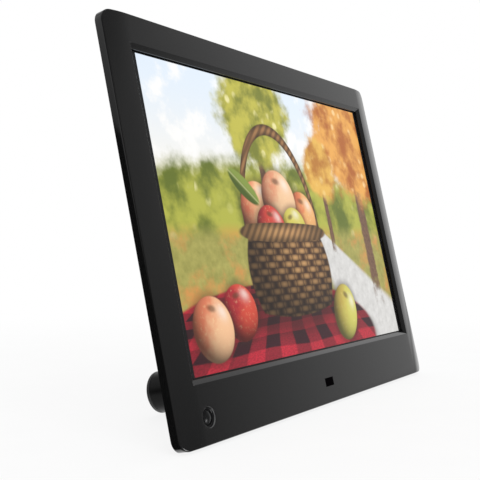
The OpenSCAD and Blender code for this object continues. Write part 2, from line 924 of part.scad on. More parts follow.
module earphone_jack() {
    x = port_wall_x + port_set_back;
    z = board_z + audio_z;
    mid_y = board_back + audio_size[1] / 2;
    color("#1a1a1c")
        lean()
            difference() {
                union() {
                    translate([x + audio_collar_l, board_back, z - audio_size[2] / 2])
                        cube([audio_size[0] - audio_collar_l, audio_size[1], audio_size[2]]);
                    translate([x, mid_y, z])
                        rotate([0, 90, 0])
                            cylinder(h = 2 * audio_collar_l, r = audio_collar_r);
                }
                translate([x - cut, mid_y, z])
                    rotate([0, 90, 0])
                        cylinder(h = audio_size[0] - audio_end, r = audio_hole_r);
            }
}

module speaker_frames() {
    color("#26262a")
        lean()
            for (x = [-speaker_x, speaker_x]) {
                bar(x, speaker_z, inner_y - speaker_rim_t, inner_y, speaker_r);
                translate([x, inner_y - speaker_rim_t - speaker_cone_t, speaker_z])
                    rotate([-90, 0, 0])
                        cylinder(h = speaker_cone_t, r1 = speaker_magnet_r, r2 = speaker_r - speaker_cone_in);
            }
}

module speaker_magnets() {
    y = inner_y - speaker_rim_t - speaker_cone_t;
    color("#9ea2a5")
        lean()
            for (x = [-speaker_x, speaker_x])
                bar(x, speaker_z, y - speaker_magnet_t, y, speaker_magnet_r);
}

// ---------- sensors ----------

module sensor_board(x) {
    difference() {
        translate([x - sensor_board_left, sensor_board_y, sensor_board_z])
            cube([sensor_board_w, sensor_board_t, sensor_board_h]);
        for (screw_x = sensor_screw_xs)
            bar(screw_x, sensor_screw_z, sensor_board_y - cut, sensor_board_y + sensor_board_t + cut,
                small_shank_r + fit);
    }
}

module ir_receiver() {
    front = front_t + ir_flange_t + air;
    color("#141216")
        lean() {
            block(ir_x, ir_z + 0.6, receiver_w, receiver_h, front + receiver_dome_r / 2, sensor_board_y);
            intersection() {
                translate([ir_x, front + receiver_dome_r, ir_z])
                    sphere(receiver_dome_r);
                bar(ir_x, ir_z, front, sensor_board_y, receiver_dome_r);
            }
        }
}

module ir_board() {
    color("#1f6a3c")
        lean()
            sensor_board(ir_x);
}

module motion_sensor() {
    front = front_t + lens_flange_t + air;
    color("#c8c9c6")
        lean() {
            bar(lens_x, lens_z, front, sensor_board_y, can_r);
            bar(lens_x, lens_z, sensor_board_y - can_flange_t, sensor_board_y, can_r + can_flange);
        }
}

module motion_board() {
    color("#1f6a3c")
        lean()
            sensor_board(lens_x);
}

module sensor_screws() {
    color("#8f9395")
        lean()
            for (x = sensor_screw_xs)
                screw(x, sensor_screw_z, sensor_board_y + sensor_board_t, small_head_r, small_head_h,
                      small_shank_r, sensor_board_t + small_shank_l - fit);
}

// ---------- buttons ----------

function key_x(i) = keys_x + key_grid[i][1] * key_pitch;
function key_z(i) = keys_z + key_grid[i][2] * key_pitch;
function key_posts() = [for (x = [-1, 1], z = [-1, 1])
    [keys_x + x * (key_board_s / 2 - key_screw_in), keys_z + z * (key_board_s / 2 - key_screw_in)]];

module key_board() {
    color("#1e5a34")
        lean()
            difference() {
                block(keys_x, keys_z, key_board_s, key_board_s, key_board_y, key_board_back);
                for (p = key_posts())
                    bar(p[0], p[1], key_board_y - cut, key_board_back + cut, small_shank_r + fit);
            }
}

// Flat cable with a plug at each end, from the button board to the main board
module key_cable() {
    main_x = board_left + board_w - cable_in;
    keys_end = keys_x - key_board_s / 2 + cable_in;
    bend_x = keys_x - key_board_s / 2 - 2 * air;
    low = board_back + cable_plug[1];
    high = key_board_back + cable_plug[1];
    color("#d9d6cc")
        lean() {
            block(main_x, cable_z, cable_plug[0], cable_plug[2], board_back, low);
            block(keys_end, cable_z, cable_plug[0], cable_plug[2], key_board_back, high);
            translate([0, 0, cable_z - cable_w / 2])
                linear_extrude(cable_w)
                    polygon([[main_x, low], [main_x, low - cable_t], [bend_x - cable_bend, low - cable_t],
                             [bend_x, high - cable_t], [keys_end, high - cable_t], [keys_end, high],
                             [bend_x - cable_t, high], [bend_x - cable_bend - cable_t, low]]);
        }
}

module push_switches() {
    color("#2b2b2e")
        lean()
            for (i = [0:len(key_grid) - 1]) {
                block(key_x(i), key_z(i), switch_w, switch_w, key_board_back, switch_back);
                bar(key_x(i), key_z(i), switch_back, plunger_top, plunger_r);
            }
}

module key_board_screws() {
    color("#8f9395")
        lean()
            for (p = key_posts())
                mirror([0, 1, 0])
                    screw(p[0], p[1], -key_board_y, small_head_r, small_head_h, small_shank_r,
                          board_t + small_shank_l - fit);
}

// Dished cap, flange behind the cover and the stem that meets the switch
module key_cap(i) {
    dish_deep = 0.35;
    dish_ball = (cap_r * cap_r + dish_deep * dish_deep) / (2 * dish_deep);
    top = body_t + cap_proud;
    color("#232326")
        lean()
            difference() {
                union() {
                    bar(key_x(i), key_z(i), flange_back, top, cap_r);
                    bar(key_x(i), key_z(i), flange_back - cap_flange_t, flange_back, cap_r + cap_flange);
                    bar(key_x(i), key_z(i), stem_front, flange_back - cap_flange_t, stem_r);
                }
                translate([key_x(i), top + dish_ball - dish_deep, key_z(i)])
                    sphere(dish_ball - 0.1);
            }
}

module power_button() {
    key_cap(0);
}

module up_button() {
    key_cap(1);
}

module exit_button() {
    key_cap(2);
}

module left_button() {
    key_cap(3);
}

module ok_button() {
    key_cap(4);
}

module right_button() {
    key_cap(5);
}

module menu_button() {
    key_cap(6);
}

module down_button() {
    key_cap(7);
}

// ---------- rear cover ----------

// Edge profile of the cover as inset and depth: slope, brow radius, flat
function edge_profile(r, top, shift, start) = concat(
    [[shift, start]],
    [for (i = [0:arc_steps])
        let (g = slope_angle * (1 - i / arc_steps))
            [shift + (top - rim_t) / tan(slope_angle) + r * tan(slope_angle / 2) - r * sin(g),
             top - r + r * cos(g)]]
);

// Rounded-rectangle pillow whose four sides follow one edge profile
module pillow(w, h, r, profile, floor_y) {
    last = profile[len(profile) - 1];
    side_points = concat([[0, floor_y]], profile);
    translate([0, 0, frame_h / 2]) {
        translate([0, 0, r - h / 2])
            linear_extrude(h - 2 * r)
                polygon(concat([for (p = side_points) [w / 2 - p[0], p[1]]],
                               [for (i = [len(side_points) - 1:-1:0])
                                   [side_points[i][0] - w / 2, side_points[i][1]]]));
        translate([r - w / 2, 0, 0])
            rotate([90, 0, 90])
                linear_extrude(w - 2 * r)
                    polygon(concat([for (p = side_points) [p[1], h / 2 - p[0]]],
                                   [for (i = [len(side_points) - 1:-1:0])
                                       [side_points[i][1], side_points[i][0] - h / 2]]));
        for (x = [-1, 1], z = [-1, 1])
            translate([x * (w / 2 - r), 0, z * (h / 2 - r)])
                rotate([-90, 0, 0])
                    rotate_extrude()
                        polygon(concat([[0, floor_y]],
                                       [for (p = side_points) [r - p[0], p[1]]],
                                       [[0, last[1]]]));
    }
}

module cover_outside() {
    pillow(back_w, back_h, cover_r, edge_profile(brow_r, body_t, 0, rim_t), rim_t);
}

module cover_inside() {
    inner_r = max(brow_r - cover_wall, 0.4);
    pillow(back_w - 2 * wall_shift, back_h - 2 * wall_shift, cover_r - wall_shift,
           edge_profile(inner_r, inner_y, 0, rim_t), rim_t);
    slab(rim_t - lip_d - cut, rim_t + cut / 2)
        translate([0, frame_h / 2])
            round_rect(back_w - 2 * wall_shift, back_h - 2 * wall_shift, cover_r - wall_shift);
}

// Raised boss round a leg socket: outer ring, inner tube with its floor, six ribs
module socket_boss(x, z) {
    rib_y = socket_y + boss_rib_in;
    difference() {
        bar(x, z, socket_y, body_t, boss_r);
        bar(x, z, socket_y - cut, inner_y, boss_r - cover_wall);
    }
    bar(x, z, socket_y, body_t, insert_r + socket_wall);
    for (turn = [0, 60, 120])
        translate([x, rib_y, z])
            rotate([0, turn, 0])
                translate([cover_wall / 2 - boss_r, 0, -boss_rib_t / 2])
                    cube([2 * boss_r - cover_wall, body_t - cover_wall / 2 - rib_y, boss_rib_t]);
}

module port_recess() {
    translate([-frame_w / 2 - cut, recess_y, recess_low])
        cube([port_wall_in + cut, body_t, recess_high - recess_low]);
}

module port_mouths() {
    far = cover_wall + 2 * cut;
    translate([port_wall_x - cut, board_back - fit, board_z + usb_z - usb_size[2] / 2 - fit])
        cube([far, usb_size[1] + 2 * fit, usb_size[2] + 2 * fit]);
    translate([port_wall_x - cut, board_back - fit, board_z + card_z - card_size[2] / 2 - fit])
        cube([far, card_size[1] + 2 * fit, card_size[2] + 2 * fit]);
    translate([port_wall_x - cut, board_back - fit, board_z + power_z - jack_size[2] / 2 - fit])
        cube([far, jack_size[1] + 2 * fit, jack_size[2] + 2 * fit]);
    translate([port_wall_x - cut, board_back + audio_size[1] / 2, board_z + audio_z])
        rotate([0, 90, 0])
            cylinder(h = far, r = audio_collar_r + fit);
    translate([port_wall_x + audio_collar_l + port_set_back - fit, board_back - fit,
               board_z + audio_z - audio_size[2] / 2 - fit])
        cube([far, audio_size[1] + 2 * fit, audio_size[2] + 2 * fit]);
}

// Ribs across the inside of the cover's flat back
module stiffeners() {
    low = board_z + air;
    high = vents_low - 2 * stiffener_t;
    left = board_left + board_w / 4;
    right = keys_x - key_board_s / 2 - 2 * air;
    floor_z = speaker_z - speaker_r;
    for (z = [low, high])
        block((left + right) / 2, z, right - left, stiffener_t, inner_y - stiffener_h, inner_y + cut);
    for (x = [left, (left + right) / 2, right])
        block(x, (low + high) / 2, stiffener_t, high - low + stiffener_t,
              inner_y - stiffener_h, inner_y + cut);
    for (x = [-speaker_r / 2, speaker_r / 2])
        block(x, (floor_z + low) / 2, stiffener_t, low - floor_z, inner_y - stiffener_h, inner_y + cut);
}

// Loudspeaker grille: three rings of round holes about a middle one
module grille(x, z) {
    bar(x, z, inner_y - cut, body_t + cut, grille_hole_r);
    for (ring = [1:3], i = [0:6 * ring - 1])
        bar(x + ring * grille_pitch * cos(60 * i / ring), z + ring * grille_pitch * sin(60 * i / ring),
            inner_y - cut, body_t + cut, grille_hole_r);
}

module rear_cover() {
    color("#202022")
        lean()
            difference() {
                union() {
                    difference() {
                        union() {
                            cover_outside();
                            slab(rim_t - lip_t, rim_t)
                                translate([0, frame_h / 2])
                                    round_rect(frame_w - 2 * (side_wall + fit),
                                               frame_h - 2 * (side_wall + fit),
                                               corner_r - side_wall - fit);
                        }
                        cover_inside();
                    }
                    intersection() {
                        union() {
                            for (s = screws)
                                bar(s[0], s[1], screw_joint_y, body_t, head_pocket_r + screw_post_wall);
                            translate([-frame_w / 2, recess_y - cover_wall, recess_low - cover_wall])
                                cube([port_wall_in + cover_wall, body_t,
                                      recess_high - recess_low + 2 * cover_wall]);
                        }
                        union() {
                            cover_outside();
                            slab(rim_t - lip_t, rim_t)
                                translate([0, frame_h / 2])
                                    square([back_w - 2 * cover_step, back_h - 2 * cover_step],
                                           center = true);
                        }
                    }
                    socket_boss(leg_x, leg_z);
                    socket_boss(portrait_x, portrait_z);
                    for (p = key_posts())
                        bar(p[0], p[1], key_board_back, inner_y + cut, key_post_r);
                    stiffeners();
                }
                port_recess();
                port_mouths();
                for (s = screws) {
                    bar(s[0], s[1], seat_y, body_t + cut, head_pocket_r);
                    bar(s[0], s[1], screw_joint_y - cut, seat_y + cut, screw_shank_r + fit);
                }
                for (x = [[leg_x, leg_z], [portrait_x, portrait_z]])
                    bar(x[0], x[1], body_t - insert_l, body_t + cut, insert_r);
                for (i = [0:len(key_grid) - 1])
                    bar(key_x(i), key_z(i), inner_y - cut, body_t + cut, cap_r + cap_gap);
                for (p = key_posts())
                    bar(p[0], p[1], key_board_back - cut, key_board_back + small_shank_l, small_shank_r);
                for (x = [-speaker_x, speaker_x])
                    grille(x, speaker_z);
                for (i = [0:vent_count - 1])
                    block((i - (vent_count - 1) / 2) * vent_pitch, vent_z, vent_w, vent_l,
                          inner_y - cut, body_t + cut);
            }
}

module cover_screws() {
    color("#3a3a3c")
        lean()
            for (s = screws)
                screw(s[0], s[1], seat_y, screw_head_r, screw_head_h, screw_shank_r,
                      screw_seat_t + screw_bite - fit);
}

// ---------- leg ----------

module socket_insert(x, z) {
    lean()
        difference() {
            bar(x, z, body_t - insert_l, body_t, insert_r);
            bar(x, z, body_t - insert_l - cut, body_t + cut, stud_r + stud_gap);
        }
}

module leg_insert() {
    color("#c9a24a")
        socket_insert(leg_x, leg_z);
}

module portrait_insert() {
    color("#c9a24a")
        socket_insert(portrait_x, portrait_z);
}

module leg_washer() {
    color("#101011")
        lean()
            difference() {
                bar(leg_x, leg_z, body_t + washer_gap, body_t + washer_gap + washer_t, leg_r - 0.4);
                bar(leg_x, leg_z, body_t - cut, leg_y + cut, stud_r + stud_gap);
            }
}

module leg_stud() {
    color("#b9bcbe")
        lean() {
            bar(leg_x, leg_z, body_t - stud_in, leg_y + stud_hold, stud_r);
        }
}

module leg_tube() {
    chamfer = 0.5;
    color("#18181a")
        lean()
            difference() {
                union() {
                    translate([leg_x, leg_y, leg_z])
                        rotate([-90, 0, 0])
                            cylinder(h = chamfer, r1 = leg_r - chamfer, r2 = leg_r);
                    bar(leg_x, leg_z, leg_y + chamfer, leg_end_y, leg_r);
                }
                bar(leg_x, leg_z, leg_y - cut, leg_y + stud_hold, stud_r);
                bar(leg_x, leg_z, leg_y + leg_solid_l, leg_end_y + cut, leg_bore_r);
            }
}

// Rubber end: a rounded disc with the plug that grips the tube
module leg_foot() {
    profile = concat(
        [[0, 0], [leg_r, 0]],
        [for (i = [0:arc_steps])
            let (g = 90 * i / arc_steps)
                [leg_r - foot_edge_r + foot_edge_r * cos(g), foot_t - foot_edge_r + foot_edge_r * sin(g)]],
        [[0, foot_t]]
    );
    color("#0e0e0f")
        lean() {
            translate([leg_x, leg_end_y, leg_z])
                rotate([-90, 0, 0])
                    rotate_extrude()
                        polygon(profile);
            bar(leg_x, leg_z, leg_end_y - foot_plug_l, leg_end_y, leg_bore_r);
        }
}

front_bezel();
ir_window();
motion_lens();
panel_gasket();
lcd_glass();
light_films();
light_guide();
reflector_sheet();
led_strip();
panel_frame();
panel_tray();
panel_clips();
clip_screws();
display_ribbon();
board_pillars();
main_board();
board_screws();
processor();
memory_chips();
power_parts();
ribbon_connector();
usb_socket();
card_slot();
power_inlet();
earphone_jack();
speaker_frames();
speaker_magnets();
ir_receiver();
ir_board();
motion_sensor();
motion_board();
sensor_screws();
key_board();
key_cable();
push_switches();
key_board_screws();
power_button();
up_button();
exit_button();
left_button();
ok_button();
right_button();
menu_button();
down_button();
rear_cover();
cover_screws();
leg_insert();
portrait_insert();
leg_washer();
leg_stud();
leg_tube();
leg_foot();
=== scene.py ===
import math
import bmesh
import bpy
from mathutils import Matrix, Vector


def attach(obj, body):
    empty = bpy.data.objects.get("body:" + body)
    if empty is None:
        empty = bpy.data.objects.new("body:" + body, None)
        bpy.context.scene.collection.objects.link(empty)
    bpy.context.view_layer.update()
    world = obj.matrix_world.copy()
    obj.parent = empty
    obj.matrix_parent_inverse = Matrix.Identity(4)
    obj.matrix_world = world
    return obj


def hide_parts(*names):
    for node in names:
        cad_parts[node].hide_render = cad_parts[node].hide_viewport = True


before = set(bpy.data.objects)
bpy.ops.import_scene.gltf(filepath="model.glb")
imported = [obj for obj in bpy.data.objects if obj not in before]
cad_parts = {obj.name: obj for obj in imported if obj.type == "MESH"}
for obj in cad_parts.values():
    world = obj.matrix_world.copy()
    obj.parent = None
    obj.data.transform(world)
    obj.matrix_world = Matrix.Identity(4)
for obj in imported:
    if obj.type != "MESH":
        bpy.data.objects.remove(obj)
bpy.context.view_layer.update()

mm = 0.001

# How the upright frame stands: leaning back, on its lower rear rim and the leg's end
stance = dict(lean=12.953825, shiftY=-31.066, shiftZ=1.2105)
toRow = (Matrix.Translation((0, stance["shiftY"] * mm, stance["shiftZ"] * mm))
         @ Matrix.Rotation(-math.radians(stance["lean"]), 4, "X")
         @ Matrix.Scale(mm, 4))
fromRow = toRow.inverted()

outline = dict(width=246, height=176, rimDepth=5.4, cornerRadius=5.4, wall=1.8, frontWall=2.2)
window = dict(width=215.4, height=135.6, centre=93.5, bevelWidth=2.0, bevelDepth=1.4)


def addPiece(name, bm, body, materials, nodes=(), sharp=32, weighted=True):
    bmesh.ops.recalc_face_normals(bm, faces=bm.faces)
    bm.transform(toRow)
    limit = math.radians(sharp)
    for face in bm.faces:
        face.smooth = True
    for edge in bm.edges:
        edge.smooth = len(edge.link_faces) == 2 and edge.calc_face_angle() < limit
    mesh = bpy.data.meshes.new(name)
    bm.to_mesh(mesh)
    bm.free()
    for material in materials:
        mesh.materials.append(material)
    piece = bpy.data.objects.new(name, mesh)
    bpy.context.collection.objects.link(piece)
    if weighted:
        evenNormals(piece)
    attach(piece, body)
    if nodes:
        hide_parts(*nodes)
    return piece


def evenNormals(piece):
    modifier = piece.modifiers.new("evenNormals", "WEIGHTED_NORMAL")
    modifier.keep_sharp = True
    modifier.weight = 80


def revolve(bm, x, z, profile, steps=64, material=0, start=0.0):
    rings = []
    for radius, depth in profile:
        if radius < 1e-6:
            rings.append([bm.verts.new((x, depth, z))])
            continue
        rings.append([bm.verts.new((x + radius * math.cos(start + 2 * math.pi * i / steps), depth,
                                    z + radius * math.sin(start + 2 * math.pi * i / steps)))
                      for i in range(steps)])
    for first, second in zip(rings, rings[1:]):
        for i in range(steps):
            j = (i + 1) % steps
            corners = [first[i % len(first)], first[j % len(first)],
                       second[j % len(second)], second[i % len(second)]]
            unique = [v for k, v in enumerate(corners) if v not in corners[:k]]
            if len(unique) > 2:
                bm.faces.new(unique).material_index = material
    return rings


def roundedBox(bm, low, high, radius, segments=2, material=0):
    made = bmesh.ops.create_cube(bm, size=1)["verts"]
    for v in made:
        for axis in range(3):
            v.co[axis] = low[axis] if v.co[axis] < 0 else high[axis]
    edges = list({e for v in made for e in v.link_edges})
    faces = list({f for v in made for f in v.link_faces})
    for face in faces:
        face.material_index = material
    if radius:
        bmesh.ops.bevel(bm, geom=edges, offset=radius, segments=segments, profile=0.5,
                        affect="EDGES")


def joinRings(bm, first, second, material=0):
    count = len(first)
    for i in range(count):
        j = (i + 1) % count
        bm.faces.new((first[i], first[j], second[j], second[i])).material_index = material


def addNode(tree, kind, **values):
    node = tree.nodes.new("ShaderNode" + kind)
    for key, value in values.items():
        setattr(node, key, value)
    return node


def feed(tree, socket, value):
    if isinstance(value, bpy.types.NodeSocket):
        tree.links.new(value, socket)
    elif socket.type == "RGBA" and len(value) == 3:
        socket.default_value = (*value, 1)
    else:
        socket.default_value = value


def calc(tree, operation, a, b=None, c=None, clamp=False):
    node = addNode(tree, "Math", operation=operation, use_clamp=clamp)
    for socket, value in zip(node.inputs, (a, b, c)):
        if value is not None:
            feed(tree, socket, value)
    return node.outputs[0]


def vectorCalc(tree, operation, a, b=None):
    node = addNode(tree, "VectorMath", operation=operation)
    feed(tree, node.inputs[0], a)
    if b is not None:
        feed(tree, node.inputs["Scale" if operation == "SCALE" else 1], b)
    return node.outputs["Value" if operation in ("LENGTH", "DOT_PRODUCT") else "Vector"]


def blendColour(tree, factor, below, above, mode="MIX"):
    node = addNode(tree, "Mix", data_type="RGBA", blend_type=mode)
    feed(tree, node.inputs["Factor"], factor)
    feed(tree, node.inputs[6], below)
    feed(tree, node.inputs[7], above)
    return node.outputs[2]


def remap(tree, value, fromLow, fromHigh, toLow=0.0, toHigh=1.0, smooth=True):
    node = addNode(tree, "MapRange", interpolation_type="SMOOTHSTEP" if smooth else "LINEAR")
    for socket, number in zip(node.inputs, (value, fromLow, fromHigh, toLow, toHigh)):
        feed(tree, socket, number)
    return node.outputs[0]


def noise(tree, vector, scale, detail=2.0, roughness=0.5, colour=False):
    node = addNode(tree, "TexNoise")
    feed(tree, node.inputs["Vector"], vector)
    feed(tree, node.inputs["Scale"], scale)
    feed(tree, node.inputs["Detail"], detail)
    feed(tree, node.inputs["Roughness"], roughness)
    return node.outputs["Color" if colour else "Fac"]


def newGroup(name, inputs, outputs):
    tree = bpy.data.node_groups.new(name, "ShaderNodeTree")
    for label, kind, value in inputs:
        socket = tree.interface.new_socket(label, in_out="INPUT", socket_type="NodeSocket" + kind)
        if value is not None:
            socket.default_value = (*value, 1) if kind == "Color" else value
    for label, kind in outputs:
        tree.interface.new_socket(label, in_out="OUTPUT", socket_type="NodeSocket" + kind)
    return tree, tree.nodes.new("NodeGroupInput").outputs, tree.nodes.new("NodeGroupOutput").inputs


def place(tree, group, values):
    node = addNode(tree, "Group")
    node.node_tree = group
    for label, value in values.items():
        feed(tree, node.inputs[label], value)
    return node.outputs


# Local place on the frame in millimetres: x to the right, y depth, z up the frame
def framePlaceGroup():
    tree, given, out = newGroup("framePlace", [("Vector", "Vector", None)],
                                [("Place", "Vector"), ("X", "Float"), ("Depth", "Float"), ("Up", "Float")])
    shift = vectorCalc(tree, "SUBTRACT", given["Vector"],
                       (0, stance["shiftY"] * mm, stance["shiftZ"] * mm))
    turn = addNode(tree, "VectorRotate", rotation_type="X_AXIS")
    feed(tree, turn.inputs["Vector"], shift)
    feed(tree, turn.inputs["Angle"], math.radians(stance["lean"]))
    spot = vectorCalc(tree, "SCALE", turn.outputs[0], 1 / mm)
    split = addNode(tree, "SeparateXYZ")
    feed(tree, split.inputs[0], spot)
    feed(tree, out["Place"], spot)
    for label, socket in zip(("X", "Depth", "Up"), split.outputs):
        feed(tree, out[label], socket)
    return tree


# Fine texture left by the mould, with the slow drift of shade over a moulding
def mouldGrainGroup():
    tree, given, out = newGroup(
        "mouldGrain", [("Vector", "Vector", None), ("Grain Size", "Float", 0.5), ("Drift", "Float", 0.1)],
        [("Height", "Float"), ("Shade", "Float"), ("Roughness", "Float")])
    fineness = calc(tree, "DIVIDE", 1.0, given["Grain Size"])
    fine = noise(tree, given["Vector"], fineness, 3, 0.6)
    cells = addNode(tree, "TexVoronoi", feature="SMOOTH_F1")
    feed(tree, cells.inputs["Vector"], given["Vector"])
    feed(tree, cells.inputs["Scale"], calc(tree, "MULTIPLY", fineness, 0.7))
    feed(tree, out["Height"], calc(tree, "ADD", calc(tree, "MULTIPLY", fine, 0.5), cells.outputs["Distance"]))
    slow = calc(tree, "SUBTRACT", noise(tree, given["Vector"], 0.02, 2), 0.5)
    feed(tree, out["Shade"], calc(tree, "MULTIPLY_ADD", slow, given["Drift"], 1.0))
    feed(tree, out["Roughness"], calc(tree, "MULTIPLY", calc(tree, "SUBTRACT", fine, 0.5), 0.12))
    return tree


# Faint marks of handling on a shiny surface: soft prints and a few hairlines
def handlingGroup():
    tree, given, out = newGroup("handlingMarks", [("Vector", "Vector", None), ("Amount", "Float", 0.05)],
                                [("Roughness", "Float"), ("Height", "Float")])
    patches = remap(tree, noise(tree, given["Vector"], 0.035, 3, 0.6), 0.5, 0.75)
    stretched = vectorCalc(tree, "MULTIPLY", given["Vector"], (0.9, 0.9, 0.06))
    hairs = remap(tree, noise(tree, stretched, 0.7, 4, 0.7), 0.66, 0.8)
    both = calc(tree, "MAXIMUM", patches, calc(tree, "MULTIPLY", hairs, 0.5))
    feed(tree, out["Roughness"], calc(tree, "MULTIPLY", both, given["Amount"]))
    feed(tree, out["Height"], hairs)
    return tree


# Dust that has settled on what faces up
def dustGroup():
    tree, given, out = newGroup("settledDust", [("Vector", "Vector", None), ("Normal", "Vector", None),
                                                ("Amount", "Float", 0.1)], [("Mask", "Float")])
    up = vectorCalc(tree, "DOT_PRODUCT", given["Normal"], (0, 0, 1))
    lying = remap(tree, up, 0.5, 1.0)
    specks = remap(tree, noise(tree, given["Vector"], 2.5, 4, 0.8), 0.45, 0.75)
    feed(tree, out["Mask"], calc(tree, "MULTIPLY", calc(tree, "MULTIPLY", lying, specks), given["Amount"]))
    return tree


# Edges rubbed a little paler and shinier than the faces beside them
def edgeWearGroup():
    tree, given, out = newGroup("edgeWear", [("Vector", "Vector", None), ("Pointiness", "Float", 0.5),
                                             ("Amount", "Float", 0.3)], [("Mask", "Float")])
    edge = remap(tree, given["Pointiness"], 0.52, 0.6)
    broken = remap(tree, noise(tree, given["Vector"], 0.25, 4, 0.7), 0.4, 0.65)
    feed(tree, out["Mask"], calc(tree, "MULTIPLY", calc(tree, "MULTIPLY", edge, broken), given["Amount"]))
    return tree


# Fine parallel scratches of turned, drawn or rolled metal
def drawnMetalGroup():
    tree, given, out = newGroup("drawnMetal", [("Vector", "Vector", None), ("Along", "Vector", (1, 0.05, 1)),
                                               ("Fineness", "Float", 6.0)],
                                [("Height", "Float"), ("Roughness", "Float"), ("Shade", "Float")])
    drawn = vectorCalc(tree, "MULTIPLY", given["Vector"], given["Along"])
    lines = noise(tree, drawn, given["Fineness"], 4, 0.7)
    feed(tree, out["Height"], lines)
    feed(tree, out["Roughness"], calc(tree, "MULTIPLY", calc(tree, "SUBTRACT", lines, 0.5), 0.25))
    feed(tree, out["Shade"], calc(tree, "MULTIPLY_ADD", calc(tree, "SUBTRACT", lines, 0.5), 0.3, 1.0))
    return tree


# Circuit board: tracks that turn at 45 degrees, plated pads and through holes
def circuitGroup():
    tree, given, out = newGroup("circuitTracks", [("Vector", "Vector", None),
                                                  ("Resist", "Color", (0.01, 0.09, 0.03)),
                                                  ("Pitch", "Float", 0.9), ("Face", "Float", 1)],
                                [("Color", "Color"), ("Metallic", "Float"), ("Height", "Float")])
    flat = vectorCalc(tree, "MULTIPLY", given["Vector"], (1, 0, 1))
    squared = addNode(tree, "TexVoronoi", distance="MANHATTAN")
    feed(tree, squared.inputs["Vector"], flat)
    feed(tree, squared.inputs["Scale"], 0.075)
    spacing = calc(tree, "MULTIPLY", given["Pitch"], 0.075)
    bands = calc(tree, "FRACT", calc(tree, "DIVIDE", squared.outputs["Distance"], spacing))
    area = addNode(tree, "SeparateColor")
    feed(tree, area.inputs[0], squared.outputs["Color"])
    fromMiddle = calc(tree, "ABSOLUTE", calc(tree, "SUBTRACT", bands, 0.5))
    tracks = calc(tree, "MULTIPLY", remap(tree, fromMiddle, 0.24, 0.19),
                  calc(tree, "GREATER_THAN", area.outputs[0], 0.35))
    dots = addNode(tree, "TexVoronoi")
    feed(tree, dots.inputs["Vector"], flat)
    feed(tree, dots.inputs["Scale"], 0.3)
    pads = remap(tree, dots.outputs["Distance"], 0.17, 0.14)
    holes = remap(tree, dots.outputs["Distance"], 0.08, 0.06)
    weave = noise(tree, flat, 3, 3)
    board = blendColour(tree, calc(tree, "MULTIPLY", tracks, 0.55), given["Resist"],
                        blendColour(tree, 0.12, given["Resist"], (0.6, 0.75, 0.3)))
    board = blendColour(tree, calc(tree, "MULTIPLY", weave, 0.25), board, (0, 0, 0))
    plated = blendColour(tree, holes, (0.75, 0.72, 0.66), (0.02, 0.02, 0.02))
    feed(tree, out["Color"], blendColour(tree, calc(tree, "MULTIPLY", pads, given["Face"]), board, plated))
    bare = calc(tree, "SUBTRACT", pads, holes)
    feed(tree, out["Metallic"], calc(tree, "MULTIPLY", bare, given["Face"], clamp=True))
    raised = calc(tree, "SUBTRACT", pads, calc(tree, "MULTIPLY", holes, 2))
    feed(tree, out["Height"], calc(tree, "ADD", tracks, raised))
    return tree


# Parallel stripes along one axis, as on flat cables and light strips
def stripesGroup():
    tree, given, out = newGroup("stripes", [("Across", "Float", 0), ("Pitch", "Float", 1),
                                            ("Share", "Float", 0.5)],
                                [("Mask", "Float")])
    phase = calc(tree, "FRACT", calc(tree, "DIVIDE", given["Across"], given["Pitch"]))
    away = calc(tree, "ABSOLUTE", calc(tree, "SUBTRACT", phase, 0.5))
    half = calc(tree, "MULTIPLY", given["Share"], 0.5)
    outer, inner = calc(tree, "ADD", half, 0.04), calc(tree, "SUBTRACT", half, 0.04)
    feed(tree, out["Mask"], remap(tree, away, outer, inner))
    return tree


framePlace = framePlaceGroup()
circuitTracks = circuitGroup()
stripes = stripesGroup()
mouldGrain = mouldGrainGroup()
handlingMarks = handlingGroup()
settledDust = dustGroup()
edgeWear = edgeWearGroup()
drawnMetal = drawnMetalGroup()


def startMaterial(name, colour, roughness, metallic=0.0, **sockets):
    material = bpy.data.materials.new(name)
    material.use_nodes = True
    tree = material.node_tree
    shader = tree.nodes["Principled BSDF"]
    shader.inputs["Base Color"].default_value = (*colour, 1)
    shader.inputs["Roughness"].default_value = roughness
    shader.inputs["Metallic"].default_value = metallic
    for label, value in sockets.items():
        shader.inputs[label.replace("_", " ")].default_value = value
    coordinates = addNode(tree, "TexCoord")
    spot = place(tree, framePlace, {"Vector": coordinates.outputs["Object"]})
    return material, tree, shader, spot


def setBump(tree, shader, height, distance, strength=1.0):
    bump = addNode(tree, "Bump")
    feed(tree, bump.inputs["Height"], height)
    feed(tree, bump.inputs["Distance"], distance * mm)
    feed(tree, bump.inputs["Strength"], strength)
    feed(tree, shader.inputs["Normal"], bump.outputs[0])


